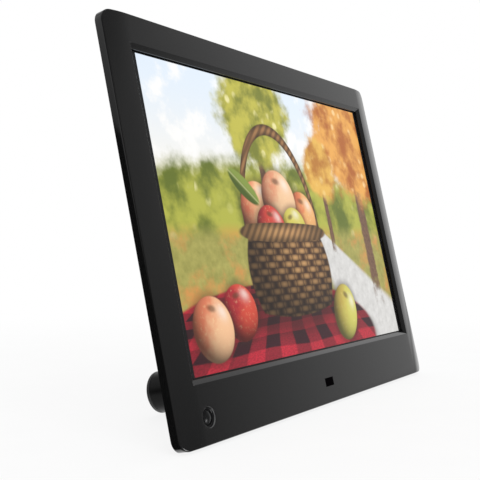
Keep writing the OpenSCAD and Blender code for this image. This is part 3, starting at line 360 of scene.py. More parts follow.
def mouldedPlastic(name, colour, roughness, grain=0.4, grainDepth=0.01, drift=0.1, marks=0.04,
                   dust=0.05, wear=0.2, **sockets):
    material, tree, shader, at = startMaterial(name, colour, roughness, **sockets)
    surface = addNode(tree, "NewGeometry")
    texture = place(tree, mouldGrain, {"Vector": at["Place"], "Grain Size": grain, "Drift": drift})
    touched = place(tree, handlingMarks, {"Vector": at["Place"], "Amount": marks})
    dusty = place(tree, settledDust, {"Vector": at["Place"], "Normal": surface.outputs["Normal"],
                                      "Amount": dust})
    worn = place(tree, edgeWear, {"Vector": at["Place"], "Pointiness": surface.outputs["Pointiness"],
                                  "Amount": wear})
    shaded = blendColour(tree, 1.0, colour, texture["Shade"], "MULTIPLY")
    rubbed = blendColour(tree, worn["Mask"], shaded, tuple(min(1, c * 1.8 + 0.02) for c in colour))
    feed(tree, shader.inputs["Base Color"], blendColour(tree, dusty["Mask"], rubbed, (0.42, 0.4, 0.37)))
    uneven = calc(tree, "ADD", calc(tree, "ADD", roughness, texture["Roughness"]), touched["Roughness"])
    dulled = calc(tree, "MULTIPLY", dusty["Mask"], 0.4)
    feed(tree, shader.inputs["Roughness"], calc(tree, "ADD", uneven, dulled))
    setBump(tree, shader, texture["Height"], grainDepth)
    return material


def workedMetal(name, colour, roughness, along=(1, 0.05, 1), fineness=6.0, depth=0.004, **sockets):
    material, tree, shader, at = startMaterial(name, colour, roughness, 1.0, **sockets)
    lines = place(tree, drawnMetal, {"Vector": at["Place"], "Along": along, "Fineness": fineness})
    touched = place(tree, handlingMarks, {"Vector": at["Place"], "Amount": 0.12})
    feed(tree, shader.inputs["Base Color"], blendColour(tree, 1.0, colour, lines["Shade"], "MULTIPLY"))
    uneven = calc(tree, "ADD", calc(tree, "ADD", roughness, lines["Roughness"]), touched["Roughness"])
    feed(tree, shader.inputs["Roughness"], uneven)
    setBump(tree, shader, lines["Height"], depth)
    return material


def circuitBoard(name, resist, pitch=0.9):
    material, tree, shader, at = startMaterial(name, resist, 0.34)
    circuit = place(tree, circuitTracks, {"Vector": at["Place"], "Resist": resist, "Pitch": pitch})
    touched = place(tree, handlingMarks, {"Vector": at["Place"], "Amount": 0.06})
    feed(tree, shader.inputs["Base Color"], circuit["Color"])
    feed(tree, shader.inputs["Metallic"], circuit["Metallic"])
    feed(tree, shader.inputs["Roughness"], calc(tree, "ADD", 0.34, touched["Roughness"]))
    setBump(tree, shader, circuit["Height"], 0.03)
    return material


# Plastic with stripes of another colour; along is the place's part that runs across them
def stripedPlastic(name, colour, stripeColour, along, pitch, share, roughness=0.4, metallic=0.0, **sockets):
    material, tree, shader, at = startMaterial(name, colour, roughness, **sockets)
    lines = place(tree, stripes, {"Across": at[along], "Pitch": pitch, "Share": share})["Mask"]
    texture = place(tree, mouldGrain, {"Vector": at["Place"], "Grain Size": 0.4, "Drift": 0.12})
    mixed = blendColour(tree, lines, colour, stripeColour)
    feed(tree, shader.inputs["Base Color"], blendColour(tree, 1.0, mixed, texture["Shade"], "MULTIPLY"))
    feed(tree, shader.inputs["Metallic"], calc(tree, "MULTIPLY", lines, metallic))
    feed(tree, shader.inputs["Roughness"], calc(tree, "ADD", roughness, texture["Roughness"]))
    setBump(tree, shader, calc(tree, "ADD", calc(tree, "MULTIPLY", lines, 0.6), texture["Height"]), 0.01)
    return material


print("shared effects ready")

bezelBlack = mouldedPlastic("bezelBlack", (0.0042, 0.0042, 0.0043), 0.05, grain=0.35, grainDepth=0.0004,
                            marks=0.03, dust=0.008, wear=0.03)
coverBlack = mouldedPlastic("coverBlack", (0.021, 0.021, 0.022), 0.46, grain=0.45, grainDepth=0.03)
keyBlack = mouldedPlastic("keyBlack", (0.024, 0.024, 0.026), 0.38, grain=0.3, grainDepth=0.008)
legBlack = mouldedPlastic("legBlack", (0.005, 0.005, 0.005), 0.32, grain=0.5, grainDepth=0.003, dust=0.015,
                          wear=0.1, Specular_IOR_Level=0.13)
rubberBlack = mouldedPlastic("rubberBlack", (0.007, 0.007, 0.007), 0.5, grain=0.25, grainDepth=0.02)
smokedWindow = mouldedPlastic("smokedWindow", (0.0025, 0.002, 0.0025), 0.3, grain=0.6, grainDepth=0.0005,
                              marks=0.02, dust=0.004, wear=0, Specular_IOR_Level=0)
lensPlastic = mouldedPlastic("lensPlastic", (0.008, 0.008, 0.0085), 0.22, grain=0.6, grainDepth=0.001,
                             marks=0.02, dust=0.01, wear=0, Specular_IOR_Level=0.16)
# Paler grey for the sloped wall of the motion lens dish: a painted highlight standing in for the bright
# crescent there
dishWallPaintedHighlight = mouldedPlastic("dishWallPaintedHighlight", (0.13, 0.13, 0.132), 0.4, grain=0.3, grainDepth=0.001, dust=0, wear=0,
                          Specular_IOR_Level=0.2)
steel = workedMetal("steel", (0.55, 0.56, 0.57), 0.32)
brass = workedMetal("brass", (0.72, 0.5, 0.2), 0.3)
screwBlack = workedMetal("screwBlack", (0.06, 0.06, 0.062), 0.4)
portPlastic = mouldedPlastic("portPlastic", (0.02, 0.02, 0.021), 0.35, grain=0.3, grainDepth=0.006)
goldContact = workedMetal("goldContact", (0.86, 0.62, 0.26), 0.24, (0.1, 1, 1), depth=0.002)
foam = mouldedPlastic("foam", (0.018, 0.018, 0.018), 0.9, grain=0.3, grainDepth=0.06, wear=0)
whiteFilm = mouldedPlastic("whiteFilm", (0.82, 0.83, 0.83), 0.42, grain=0.8, grainDepth=0.003, wear=0)
clearGuide = mouldedPlastic("clearGuide", (0.8, 0.85, 0.86), 0.1, grain=1.2, grainDepth=0.002, wear=0,
                            Transmission_Weight=0.6, IOR=1.49)
whitePlastic = mouldedPlastic("whitePlastic", (0.78, 0.78, 0.75), 0.42, grainDepth=0.012)
speakerBlack = mouldedPlastic("speakerBlack", (0.022, 0.022, 0.025), 0.6, grain=0.5, grainDepth=0.03)
chipEpoxy = mouldedPlastic("chipEpoxy", (0.022, 0.022, 0.024), 0.5, grain=0.2, grainDepth=0.012)
ledStrip = stripedPlastic("ledStrip", (0.8, 0.8, 0.76), (0.78, 0.55, 0.12), "X", 6, 0.4)
flatCable = stripedPlastic("flatCable", (0.3, 0.13, 0.025), (0.55, 0.3, 0.08), "X", 0.8, 0.5, metallic=0.5)
greyCable = stripedPlastic("greyCable", (0.6, 0.6, 0.6), (0.4, 0.41, 0.43), "Up", 1, 0.5)
boardGreen = circuitBoard("boardGreen", (0.008, 0.085, 0.03))
trayMetal = workedMetal("trayMetal", (0.5, 0.51, 0.53), 0.36, (1, 1, 0.04), 4)
canMetal = workedMetal("canMetal", (0.6, 0.6, 0.61), 0.3, (0.3, 1, 0.3))
magnetMetal = workedMetal("magnetMetal", (0.35, 0.35, 0.36), 0.42, (0.4, 1, 0.4))
keyMark = mouldedPlastic("keyMark", (0.5, 0.5, 0.5), 0.5, grain=0.3, grainDepth=0.004, wear=0)
print("finishes ready")


bezel = dict(rollWidth=14.4, rollFall=1.6, rollPower=1.8, sideRadius=1.0, longRadius=0.5,
             windowRadius=0.15, rearRadius=0.2, cornerSteps=8,
             infrared=(1.1, 10.0, 8.5, 4.1), lensX=-103.2, lensZ=10.5, dishRadius=4.2, dishDepth=0.9,
             lensHole=3.15, lensPatch=5.2, patchCells=12, rib=(10, 1.2))


def rollFall(x):
    start = outline["width"] / 2 - bezel["rollWidth"] + 0.25
    run = bezel["rollWidth"] - 1.2
    share = min(max((abs(x) - start) / run, 0), 1)
    return bezel["rollFall"] * share ** bezel["rollPower"]


# Columns across the bezel: x on the outline, and the outline's direction outwards there
def bezelColumns():
    half, radius = outline["width"] / 2, outline["cornerRadius"]
    irX, _, irW, _ = bezel["infrared"]
    flat = window["width"] / 2 + window["bevelWidth"]
    values = {-half + radius, half - radius, -flat, flat, irX - irW / 2, irX + irW / 2, irX}
    values |= {side * (flat + (half - radius - flat) * i / 7) for side in (-1, 1) for i in range(1, 7)}
    values |= {bezel["lensX"] + bezel["lensPatch"] * (2 * i / bezel["patchCells"] - 1)
               for i in range(bezel["patchCells"] + 1)}
    values |= {-90 + 15 * i for i in range(6)} | {20 + 14 * i for i in range(7)}
    columns = [(x, 0.0, 1.0) for x in sorted(values)]
    for i in range(1, bezel["cornerSteps"] + 1):
        angle = math.pi / 2 * i / bezel["cornerSteps"]
        x = half - radius + radius * math.sin(angle)
        columns.append((x, math.sin(angle), math.cos(angle)))
        columns.insert(0, (-x, -math.sin(angle), math.cos(angle)))
    return columns


def bezelRows():
    _, irZ, _, irH = bezel["infrared"]
    low = window["centre"] - window["height"] / 2 - window["bevelWidth"]
    high = window["centre"] + window["height"] / 2 + window["bevelWidth"]
    values = {0.0, 2.5, irZ - irH / 2, irZ + irH / 2, low, high, outline["height"] - 5, outline["height"]}
    values |= {bezel["lensZ"] + bezel["lensPatch"] * (2 * i / bezel["patchCells"] - 1)
               for i in range(bezel["patchCells"] + 1)}
    values |= {low + (high - low) * i / 8 for i in range(1, 8)}
    return sorted(values), low, high


def buildBezel():
    bm = bmesh.new()
    width, height, radius = outline["width"], outline["height"], outline["cornerRadius"]
    columns = bezelColumns()
    rows, low, high = bezelRows()
    flat = window["width"] / 2 + window["bevelWidth"]
    irX, irZ, irW, irH = bezel["infrared"]
    patch = bezel["lensPatch"]

    def inside(x, z, left, right, bottom, top):
        return left < x < right and bottom < z < top

    # One sheet over the whole outline, inset from it and at its own depth, with the openings left out
    def sheet(inset, depth, squeeze):
        grid = []
        for x, outX, outZ in columns:
            edge = inset(outX)
            corner = radius * (1 - outZ)
            bottom, top = corner + edge * outZ, height - corner - edge * outZ
            placeX = x - edge * outX
            if abs(x) <= flat + 1e-6:
                placeX *= squeeze
            column = []
            for z in rows:
                share = z / height
                level = bottom + (top - bottom) * share if outZ < 0.999 else min(max(z, bottom), top)
                if low - 1e-6 <= z <= high + 1e-6 and outZ > 0.999:
                    middle = window["centre"]
                    level = middle + (level - middle) * (1 if squeeze == 1 else
                                                         window["height"] / (high - low))
                column.append(bm.verts.new((placeX, depth(placeX), level)))
            grid.append(column)
        for i in range(len(columns) - 1):
            for j in range(len(rows) - 1):
                x, z = (columns[i][0] + columns[i + 1][0]) / 2, (rows[j] + rows[j + 1]) / 2
                if (inside(x, z, -flat, flat, low, high)
                        or inside(x, z, irX - irW / 2, irX + irW / 2, irZ - irH / 2, irZ + irH / 2)
                        or inside(x, z, bezel["lensX"] - patch, bezel["lensX"] + patch,
                                  bezel["lensZ"] - patch, bezel["lensZ"] + patch)):
                    continue
                bm.faces.new((grid[i][j], grid[i + 1][j], grid[i + 1][j + 1], grid[i][j + 1]))
        return grid

    # Corners of the sheet round an opening, or round its outside
    def loop(grid, left, right, bottom, top):
        chosen = [i for i, c in enumerate(columns) if left - 1e-6 <= c[0] <= right + 1e-6]
        lines = [j for j, z in enumerate(rows) if bottom - 1e-6 <= z <= top + 1e-6]
        path = [(i, lines[0]) for i in chosen] + [(chosen[-1], j) for j in lines[1:]]
        path += [(i, lines[-1]) for i in reversed(chosen[:-1])]
        path += [(chosen[0], j) for j in reversed(lines[1:-1])]
        return path, [grid[i][j] for i, j in path]

    extra = bezel["sideRadius"] - bezel["longRadius"]
    front = sheet(lambda outX: bezel["longRadius"] + extra * outX * outX, rollFall, 1)
    back = sheet(lambda outX: outline["wall"], lambda x: outline["frontWall"],
                 window["width"] / (window["width"] + 2 * window["bevelWidth"]))

    # Rolled edge, side wall and rear rim
    path, edge = loop(front, -width, width, -1, height + 1)
    directions, radii = [], []
    for i, j in path:
        x, outX, outZ = columns[i]
        lower = j == 0
        if j in (0, len(rows) - 1):
            directions.append(Vector((outX, 0, -outZ if lower else outZ)))
        else:
            directions.append(Vector((math.copysign(1, x), 0, 0)))
        radii.append(bezel["longRadius"] + extra * directions[-1].x ** 2)
    ring = edge
    for step in range(1, 7):
        angle = math.pi / 2 * step / 6
        following = [bm.verts.new(v.co + d * r * math.sin(angle) + Vector((0, r * (1 - math.cos(angle)), 0)))
                     for v, d, r in zip(edge, directions, radii)]
        joinRings(bm, ring, following)
        ring = following
    rear = outline["rimDepth"]
    small = bezel["rearRadius"]
    for inset, depth in ((0, rear - small), (small * 0.3, rear - small * 0.3), (small, rear),
                         (outline["wall"] - small, rear), (outline["wall"] - small * 0.3, rear - small * 0.3),
                         (outline["wall"], rear - small)):
        following = []
        for v, d, r in zip(edge, directions, radii):
            spot = v.co + d * (r - inset)
            following.append(bm.verts.new((spot.x, depth, spot.z)))
        joinRings(bm, ring, following)
        ring = following
    joinRings(bm, ring, loop(back, -width, width, -1, height + 1)[1])

    # Sloped edge round the window
    first = loop(front, -flat, flat, low, high)[1]
    last = loop(back, -flat, flat, low, high)[1]
    ring = first
    soft = bezel["windowRadius"]
    slopes = ((soft * 0.35, soft * 0.1), (soft, soft * 0.5),
              (window["bevelWidth"] - soft * 0.7, window["bevelDepth"] - soft * 0.6),
              (window["bevelWidth"] - 0.02, window["bevelDepth"] + soft * 0.5), (window["bevelWidth"], 1.8))
    middle = window["centre"]
    for inset, depth in slopes:
        following = []
        for v in first:
            x = v.co.x * (flat - inset) / flat
            z = middle + (v.co.z - middle) * ((high - low) / 2 - inset) / ((high - low) / 2)
            following.append(bm.verts.new((x, depth + rollFall(flat), z)))
        joinRings(bm, ring, following)
        ring = following
    joinRings(bm, ring, last)

    # Opening of the remote-control window
    first = loop(front, irX - irW / 2, irX + irW / 2, irZ - irH / 2, irZ + irH / 2)[1]
    last = loop(back, irX - irW / 2, irX + irW / 2, irZ - irH / 2, irZ + irH / 2)[1]
    rim = [bm.verts.new((irX + (v.co.x - irX) * 0.985, 0.12, irZ + (v.co.z - irZ) * 0.97)) for v in first]
    joinRings(bm, first, rim)
    joinRings(bm, rim, last)

    # Dish of the motion lens; the paler grey on its sloped wall is a painted highlight, the bright crescent
    # on the inner wall
    def aroundLens(grid, radiusList, finishes=()):
        square = loop(grid, bezel["lensX"] - patch, bezel["lensX"] + patch,
                      bezel["lensZ"] - patch, bezel["lensZ"] + patch)[1]
        ring = square
        for step, (r, depth) in enumerate(radiusList):
            following = []
            for i in range(len(square)):
                angle = math.radians(225) + 2 * math.pi * i / len(square)
                following.append(bm.verts.new((bezel["lensX"] + r * math.cos(angle), depth,
                                               bezel["lensZ"] + r * math.sin(angle))))
            joinRings(bm, ring, following, finishes[step] if step < len(finishes) else 0)
            ring = following
        return ring

    dish, deep = bezel["dishRadius"], bezel["dishDepth"]
    hole = bezel["lensHole"]
    inner = aroundLens(front, [(dish + 0.06, 0), (dish, 0.03), (dish - 0.04, 0.1), (dish - 0.16, deep - 0.4),
                               (dish - 0.3, deep - 0.12), (dish - 0.55, deep - 0.01), (hole + 0.12, deep),
                               (hole, deep + 0.12), (hole, 1.6)], (0, 0, 1, 1, 2, 2, 2, 2))
    joinRings(bm, inner, aroundLens(back, [(hole, outline["frontWall"])]))

    # Posts inside: cover screws, panel clips, sensor boards
    tubes = [(x, z, 5, 2.6, 1.1, 3) for x in (-84, 22, 84) for z in (7.5, 169.5)]
    tubes += [(x, z, 6.1, 2, 0.7, 3) for x in (-115.3, 115.3) for z in (34.1, 149.1)]
    tubes += [(x, 14, 7, 2, 0.7, 3) for x in (8.6, 13.6, -95.7, -90.7)]
    for x, z, end, outer, hole, deepHole in tubes:
        revolve(bm, x, z, [(outer, 2.1), (outer, end - 0.15), (outer - 0.15, end), (hole, end),
                           (hole, end - deepHole), (0, end - deepHole)], 24)
    long, thick = bezel["rib"]
    upright = [(side * 113.9, z) for side in (-1, 1) for z in (62.2, 121.0)]
    lying = [(-56.5, 166.0), (56.5, 166.0), (-75.33, 17.2), (56.5, 17.2)]
    for places, wide, tall in ((upright, thick, long), (lying, long, thick)):
        for x, z in places:
            roundedBox(bm, (x - wide / 2, 1.9, z - tall / 2), (x + wide / 2, 5.6, z + tall / 2), 0.12)
    return addPiece("front_bezel_moulding", bm, "frame", [bezelBlack, dishWallPaintedHighlight, lensPlastic],
                    ["front_bezel"])


buildBezel()
print("bezel ready")


sensors = dict(dome=0.9, lensRadius=3.0, lensFlange=4.2, lensTop=0.15, flangeFront=2.2, flangeBack=3.0,
               windowGap=0.15, windowFlange=1)


def buildSensors():
    x, z, width, height = bezel["infrared"]
    bm = bmesh.new()
    gap, more = sensors["windowGap"], sensors["windowFlange"]
    front, back = sensors["flangeFront"], sensors["flangeBack"]
    roundedBox(bm, (x - width / 2 + gap, gap, z - height / 2 + gap),
               (x + width / 2 - gap, 2.3, z + height / 2 - gap), 0.22, 3)
    roundedBox(bm, (x - width / 2 - more, front, z - height / 2 - more),
               (x + width / 2 + more, back, z + height / 2 + more), 0.1)
    addPiece("infrared_window", bm, "frame", [smokedWindow], ["ir_window"])

    bm = bmesh.new()
    radius, rise = sensors["lensRadius"], sensors["dome"]
    ball = (radius ** 2 + rise ** 2) / (2 * rise)
    dome = [(radius * i / 12, sensors["lensTop"] + ball - math.sqrt(ball ** 2 - (radius * i / 12) ** 2))
            for i in range(13)]
    flange = sensors["lensFlange"]
    revolve(bm, bezel["lensX"], bezel["lensZ"], dome + [(radius, front), (flange - 0.1, front), (flange, 2.3),
                                                        (flange, back), (0, back)], 48)
    addPiece("motion_lens_dome", bm, "frame", [lensPlastic], ["motion_lens"])


buildSensors()
print("sensors ready")


leg = dict(x=-60, z=21.4, radius=9.6, front=22.1, end=54.5, reach=56.7, footRadius=1.0, bore=7.4,
           hollow=36.1, studRadius=4.0, studFrom=12.7, studTo=33.1, threadPitch=2.0, threadDepth=0.55,
           washer=(21.55, 22.05, 9.2, 4.05), insert=(11.9, 21.5, 5.55, 4.05),
           secondSocket=(101.6, 50))


# How deep the screw thread is cut, from 0 to 1, at a depth y and a share of a turn
def threadCut(y, turn):
    phase = (y / leg["threadPitch"] + turn) % 1
    return min(1, max(0, 1 - abs(phase - 0.5) / 0.42) * 1.3)


def buildLeg():
    x, z, radius = leg["x"], leg["z"], leg["radius"]
    bm = bmesh.new()
    stud = leg["studRadius"]
    revolve(bm, x, z, [(0, leg["studTo"]), (stud, leg["studTo"]), (stud, leg["front"]),
                       (radius - 0.5, leg["front"]),
                       (radius - 0.2, leg["front"] + 0.15), (radius - 0.05, leg["front"] + 0.35),
                       (radius, leg["front"] + 0.6), (radius, 38), (radius, leg["end"] - 0.35),
                       (radius - 0.06, leg["end"] - 0.15), (radius - 0.2, leg["end"] - 0.02),
                       (leg["bore"], leg["end"]), (leg["bore"], leg["hollow"]), (0, leg["hollow"])], 128)
    addPiece("leg_tube_moulding", bm, "leg", [legBlack], ["leg_tube"])

    bm = bmesh.new()
    end, reach, edge = leg["end"], leg["reach"], leg["footRadius"]
    corner = [(radius - edge + edge * math.cos(math.pi / 2 * i / 8),
               reach - edge + edge * math.sin(math.pi / 2 * i / 8)) for i in range(9)]
    grooves = []
    for middle in (7.0, 5.2, 3.4):
        grooves += [(middle + 0.35, reach), (middle + 0.2, reach - 0.25), (middle - 0.2, reach - 0.25),
                    (middle - 0.35, reach)]
    revolve(bm, x, z, [(0, end - 4), (leg["bore"] - 0.25, end - 4), (leg["bore"] - 0.05, end - 3.8),
                       (leg["bore"] - 0.05, end), (radius - 0.12, end), (radius, end + 0.12)]
            + corner + grooves + [(0, reach)], 128)
    addPiece("leg_foot_rubber", bm, "leg", [rubberBlack], ["leg_foot"])

    # Stud with its screw thread, which climbs one pitch a turn
    bm = bmesh.new()
    steps, pitch, depth = 40, leg["threadPitch"], leg["threadDepth"]
    low, high = leg["studFrom"], leg["front"] - 0.4
    count = round((high - low) / pitch * 10)
    rings = []
    for k in range(count + 1):
        y = low + (high - low) * k / count
        ring = []
        for i in range(steps):
            angle = 2 * math.pi * i / steps
            r = stud - depth * threadCut(y, i / steps) - 0.5 * max(0, 1 - k / 4)
            ring.append(bm.verts.new((x + r * math.cos(angle), y, z + r * math.sin(angle))))
        rings.append(ring)
    for first, second in zip(rings, rings[1:]):
        joinRings(bm, first, second)
    plain = [bm.verts.new((x + stud * math.cos(2 * math.pi * i / steps), leg["front"],
                           z + stud * math.sin(2 * math.pi * i / steps))) for i in range(steps)]
    far = [bm.verts.new((v.co.x, leg["studTo"], v.co.z)) for v in plain]
    joinRings(bm, rings[-1], plain)
    joinRings(bm, plain, far)
    bm.faces.new(rings[0])
    bm.faces.new(far)
    addPiece("leg_stud_thread", bm, "leg", [steel], ["leg_stud"], sharp=50)

    bm = bmesh.new()
    front, back, outer, inner = leg["washer"]
    profile = [(inner, front), (outer - 0.12, front), (outer, front + 0.12), (outer, back - 0.12),
               (outer - 0.12, back), (inner, back)]
    rings = revolve(bm, x, z, profile, 96)
    joinRings(bm, rings[-1], rings[0])
    addPiece("leg_washer_ring", bm, "washer", [rubberBlack], ["leg_washer"])


buildLeg()
print("leg ready")


keys = dict(x=70, z=112, pitch=14, capRadius=4.2, flange=5.5, top=22.7, flangeBack=19.25, flangeFront=18.45,
            stemFront=17.45, stemRadius=1.6, dish=0.3, markWidth=0.5)


# Marks on the caps as strokes across the cap, each from one point to another
def keyMarks():
    ring = [(1.55 * math.cos(math.radians(a)), 1.55 * math.sin(math.radians(a))) for a in range(125, 416, 15)]
    arrow = [(-0.9, -0.45), (0, 0.55), (0.9, -0.45)]
    turned = {"up": (1, 0, 0, 1), "down": (1, 0, 0, -1), "right": (0, 1, 1, 0), "left": (0, -1, 1, 0)}
    marks = {"power": [ring, [(0, 0.5), (0, 2.0)]],
             "menu": [[(-1.3, h), (1.3, h)] for h in (-0.95, 0, 0.95)],
             "exit": [[(-1, -1), (1, 1)], [(-1, 1), (1, -1)]],
             "ok": [[(math.cos(math.radians(a)), math.sin(math.radians(a))) for a in range(0, 361, 20)]]}
    for name, (a, b, c, d) in turned.items():
        marks[name] = [[(a * u + b * v, c * u + d * v) for u, v in arrow]]
    return marks


def buildKeys():
    marks = keyMarks()
    spots = {"power": (-1, 1), "up": (0, 1), "exit": (1, 1), "left": (-1, 0), "ok": (0, 0), "right": (1, 0),
             "menu": (-1, -1), "down": (0, -1)}
    for name, (across, up) in spots.items():
        x, z = keys["x"] + across * keys["pitch"], keys["z"] + up * keys["pitch"]
        bm = bmesh.new()
        top, radius, rim = keys["top"], keys["capRadius"], keys["capRadius"] - 0.5
        dish = [(rim * (1 - i / 6), top - keys["dish"] * (1 - (1 - i / 6) ** 2)) for i in range(7)]
        revolve(bm, x, z, [(0, keys["stemFront"]), (keys["stemRadius"] - 0.1, keys["stemFront"]),
                           (keys["stemRadius"], keys["stemFront"] + 0.1),
                           (keys["stemRadius"], keys["flangeFront"]),
                           (keys["flange"] - 0.1, keys["flangeFront"]),
                           (keys["flange"], keys["flangeFront"] + 0.1),
                           (keys["flange"], keys["flangeBack"] - 0.1),
                           (keys["flange"] - 0.1, keys["flangeBack"]),
                           (radius, keys["flangeBack"]), (radius, top - 0.4), (radius - 0.06, top - 0.2),
                           (radius - 0.2, top - 0.06), (radius - 0.38, top)] + dish, 64)
        half = keys["markWidth"] / 2
        for stroke in marks[name]:
            for (u1, v1), (u2, v2) in zip(stroke, stroke[1:]):
                length = math.hypot(u2 - u1, v2 - v1)
                alongU, alongV = (u2 - u1) / length, (v2 - v1) / length
                reach = half * 0.5
                corners = [(u1 - alongU * reach - alongV * half, v1 - alongV * reach + alongU * half),
                           (u2 + alongU * reach - alongV * half, v2 + alongV * reach + alongU * half),
                           (u2 + alongU * reach + alongV * half, v2 + alongV * reach - alongU * half),
                           (u1 - alongU * reach + alongV * half, v1 - alongV * reach - alongU * half)]
                levels = []
                for y in (top - keys["dish"] - 0.1, top - 0.12):
                    levels.append([bm.verts.new((x + u, y, z + v)) for u, v in corners])
                bm.faces.new(levels[1]).material_index = 1
                for i in range(4):
                    j = (i + 1) % 4
                    bm.faces.new((levels[0][i], levels[0][j], levels[1][j], levels[1][i])).material_index = 1
        addPiece(name + "_key_cap", bm, name + "_key", [keyBlack, keyMark], [name + "_button"])


buildKeys()
print("buttons ready")


# Copy of a modelled solid with its flat faces joined, its curves smoothed and its edges softened
def refine(node, name, body, materials, softness, sharp=30, segments=2, details=None, choose=None):
    bm = bmesh.new()
    bm.from_mesh(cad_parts[node].data)
    bmesh.ops.remove_doubles(bm, verts=bm.verts, dist=3e-6)
    bmesh.ops.dissolve_limit(bm, angle_limit=math.radians(0.3), verts=bm.verts, edges=bm.edges)
    limit = math.radians(sharp)
    for face in bm.faces:
        face.material_index = choose(fromRow @ face.calc_center_median()) if choose else 0
    if details:
        extra = bmesh.new()
        details(extra)
        bmesh.ops.recalc_face_normals(extra, faces=extra.faces)
        extra.transform(toRow)
        added = bpy.data.meshes.new(name + "_details")
        extra.to_mesh(added)
        extra.free()
        bm.from_mesh(added)
        bpy.data.meshes.remove(added)
    for face in bm.faces:
        face.smooth = True
    for edge in bm.edges:
        edge.smooth = len(edge.link_faces) == 2 and edge.calc_face_angle() < limit
    mesh = bpy.data.meshes.new(name)
    bm.to_mesh(mesh)
    bm.free()
    for material in materials:
        mesh.materials.append(material)
    piece = bpy.data.objects.new(name, mesh)
    bpy.context.collection.objects.link(piece)
    if softness:
        bevel = piece.modifiers.new("softEdges", "BEVEL")
        bevel.width = softness * mm
        bevel.segments = segments
        bevel.limit_method = "ANGLE"
        bevel.angle_limit = limit
        bevel.use_clamp_overlap = False
    evenNormals(piece)
    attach(piece, body)
    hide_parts(node)
    return piece


refine("rear_cover", "rear_cover_moulding", "frame", [coverBlack], 0.2)
refine("cover_screws", "cover_screw_heads", "frame", [screwBlack], 0.08)
print("rear cover ready")


ports = dict(wall=-97, setBack=0.4, usbZ=93, tongueTop=12.8, tongueY=11.9, tongueHalf=(0.95, 5.65),
             tongueFrom=-95.2, springY=(15.2, 15.62), cardZ=115, contactY=(10.45, 10.75), powerZ=69,
             jackY=13.3, pinRadius=0.8, pinTo=-84, collar=0.4)


def usbDetails(bm):
    left = ports["wall"] + ports["setBack"]
    for across in (-3.5, -1, 1, 3.5):
        roundedBox(bm, (left + 2.2, ports["tongueTop"] - 0.05, ports["usbZ"] + across - 0.5),
                   (left + 11, ports["tongueTop"] + 0.12, ports["usbZ"] + across + 0.5), 0.04, 1, 1)
    for across in (-3.2, 3.2):
        z, (low, high) = ports["usbZ"] + across, ports["springY"]
        roundedBox(bm, (left + 3, low, z - 1), (left + 9, high, z + 1), 0.15, 2)


def cardDetails(bm):
    left = ports["wall"] + ports["setBack"]
    low, high = ports["contactY"]
    for i in range(9):
        z = ports["cardZ"] + (i - 4) * 2.5
        roundedBox(bm, (left + 6, low, z - 0.5), (left + 16, high, z + 0.5), 0.08, 1, 1)


def onTongue(spot):
    deep, wide = ports["tongueHalf"]
    near = abs(spot.y - ports["tongueY"]) < deep and abs(spot.z - ports["usbZ"]) < wide
    return 2 if near and spot.x > ports["tongueFrom"] else 0


def onPin(spot):
    away = math.hypot(spot.y - ports["jackY"], spot.z - ports["powerZ"])
    return int(away < ports["pinRadius"] and spot.x < ports["pinTo"])


def onCollar(spot):
    return int(spot.x < ports["wall"] + ports["setBack"] + ports["collar"])


refine("usb_socket", "usb_socket_shell", "frame", [steel, goldContact, portPlastic], 0.08,
       details=usbDetails, choose=onTongue)
refine("card_slot", "card_slot_shell", "frame", [steel, goldContact], 0.06, details=cardDetails)
refine("power_inlet", "power_inlet_body", "frame", [portPlastic, steel], 0.08, choose=onPin)
refine("earphone_jack", "earphone_jack_body", "frame", [portPlastic, steel], 0.08,
       choose=onCollar)


# Threaded brass insert with a knurled outside
def buildInsert(node, x, z):
    bm = bmesh.new()
    steps, pitch, depth = 72, leg["threadPitch"], leg["threadDepth"]
    front, back, outer, bore = leg["insert"]
    count = round((back - front) / pitch * 10)
    rings = []
    for k in range(count + 1):
        y = front + (back - front) * k / count
        ring = []
        for i in range(steps):
            angle = 2 * math.pi * i / steps
            r = bore + depth * 0.5 * (1 - threadCut(y, i / steps))
            ring.append(bm.verts.new((x + r * math.cos(angle), y, z + r * math.sin(angle))))
        rings.append(ring)
    for y, inset in ((back, 0.25), (back - 0.2, 0), (front + 0.2, 0), (front, 0.25)):
        ring = []
        for i in range(steps):
            angle, r = 2 * math.pi * i / steps, outer - inset - 0.12 * (i % 2)
            ring.append(bm.verts.new((x + r * math.cos(angle), y, z + r * math.sin(angle))))
        rings.append(ring)
    for first, second in zip(rings, rings[1:] + rings[:1]):
        joinRings(bm, first, second)
    addPiece(node + "_thread", bm, "frame", [brass], [node], sharp=50)


buildInsert("leg_insert", leg["x"], leg["z"])
buildInsert("portrait_insert", *leg["secondSocket"])
print("ports and sockets ready")


picture = dict(left=-104.35, bottom=26.4, height=134.2, width=208.7, front=2.5, facing=0.4)


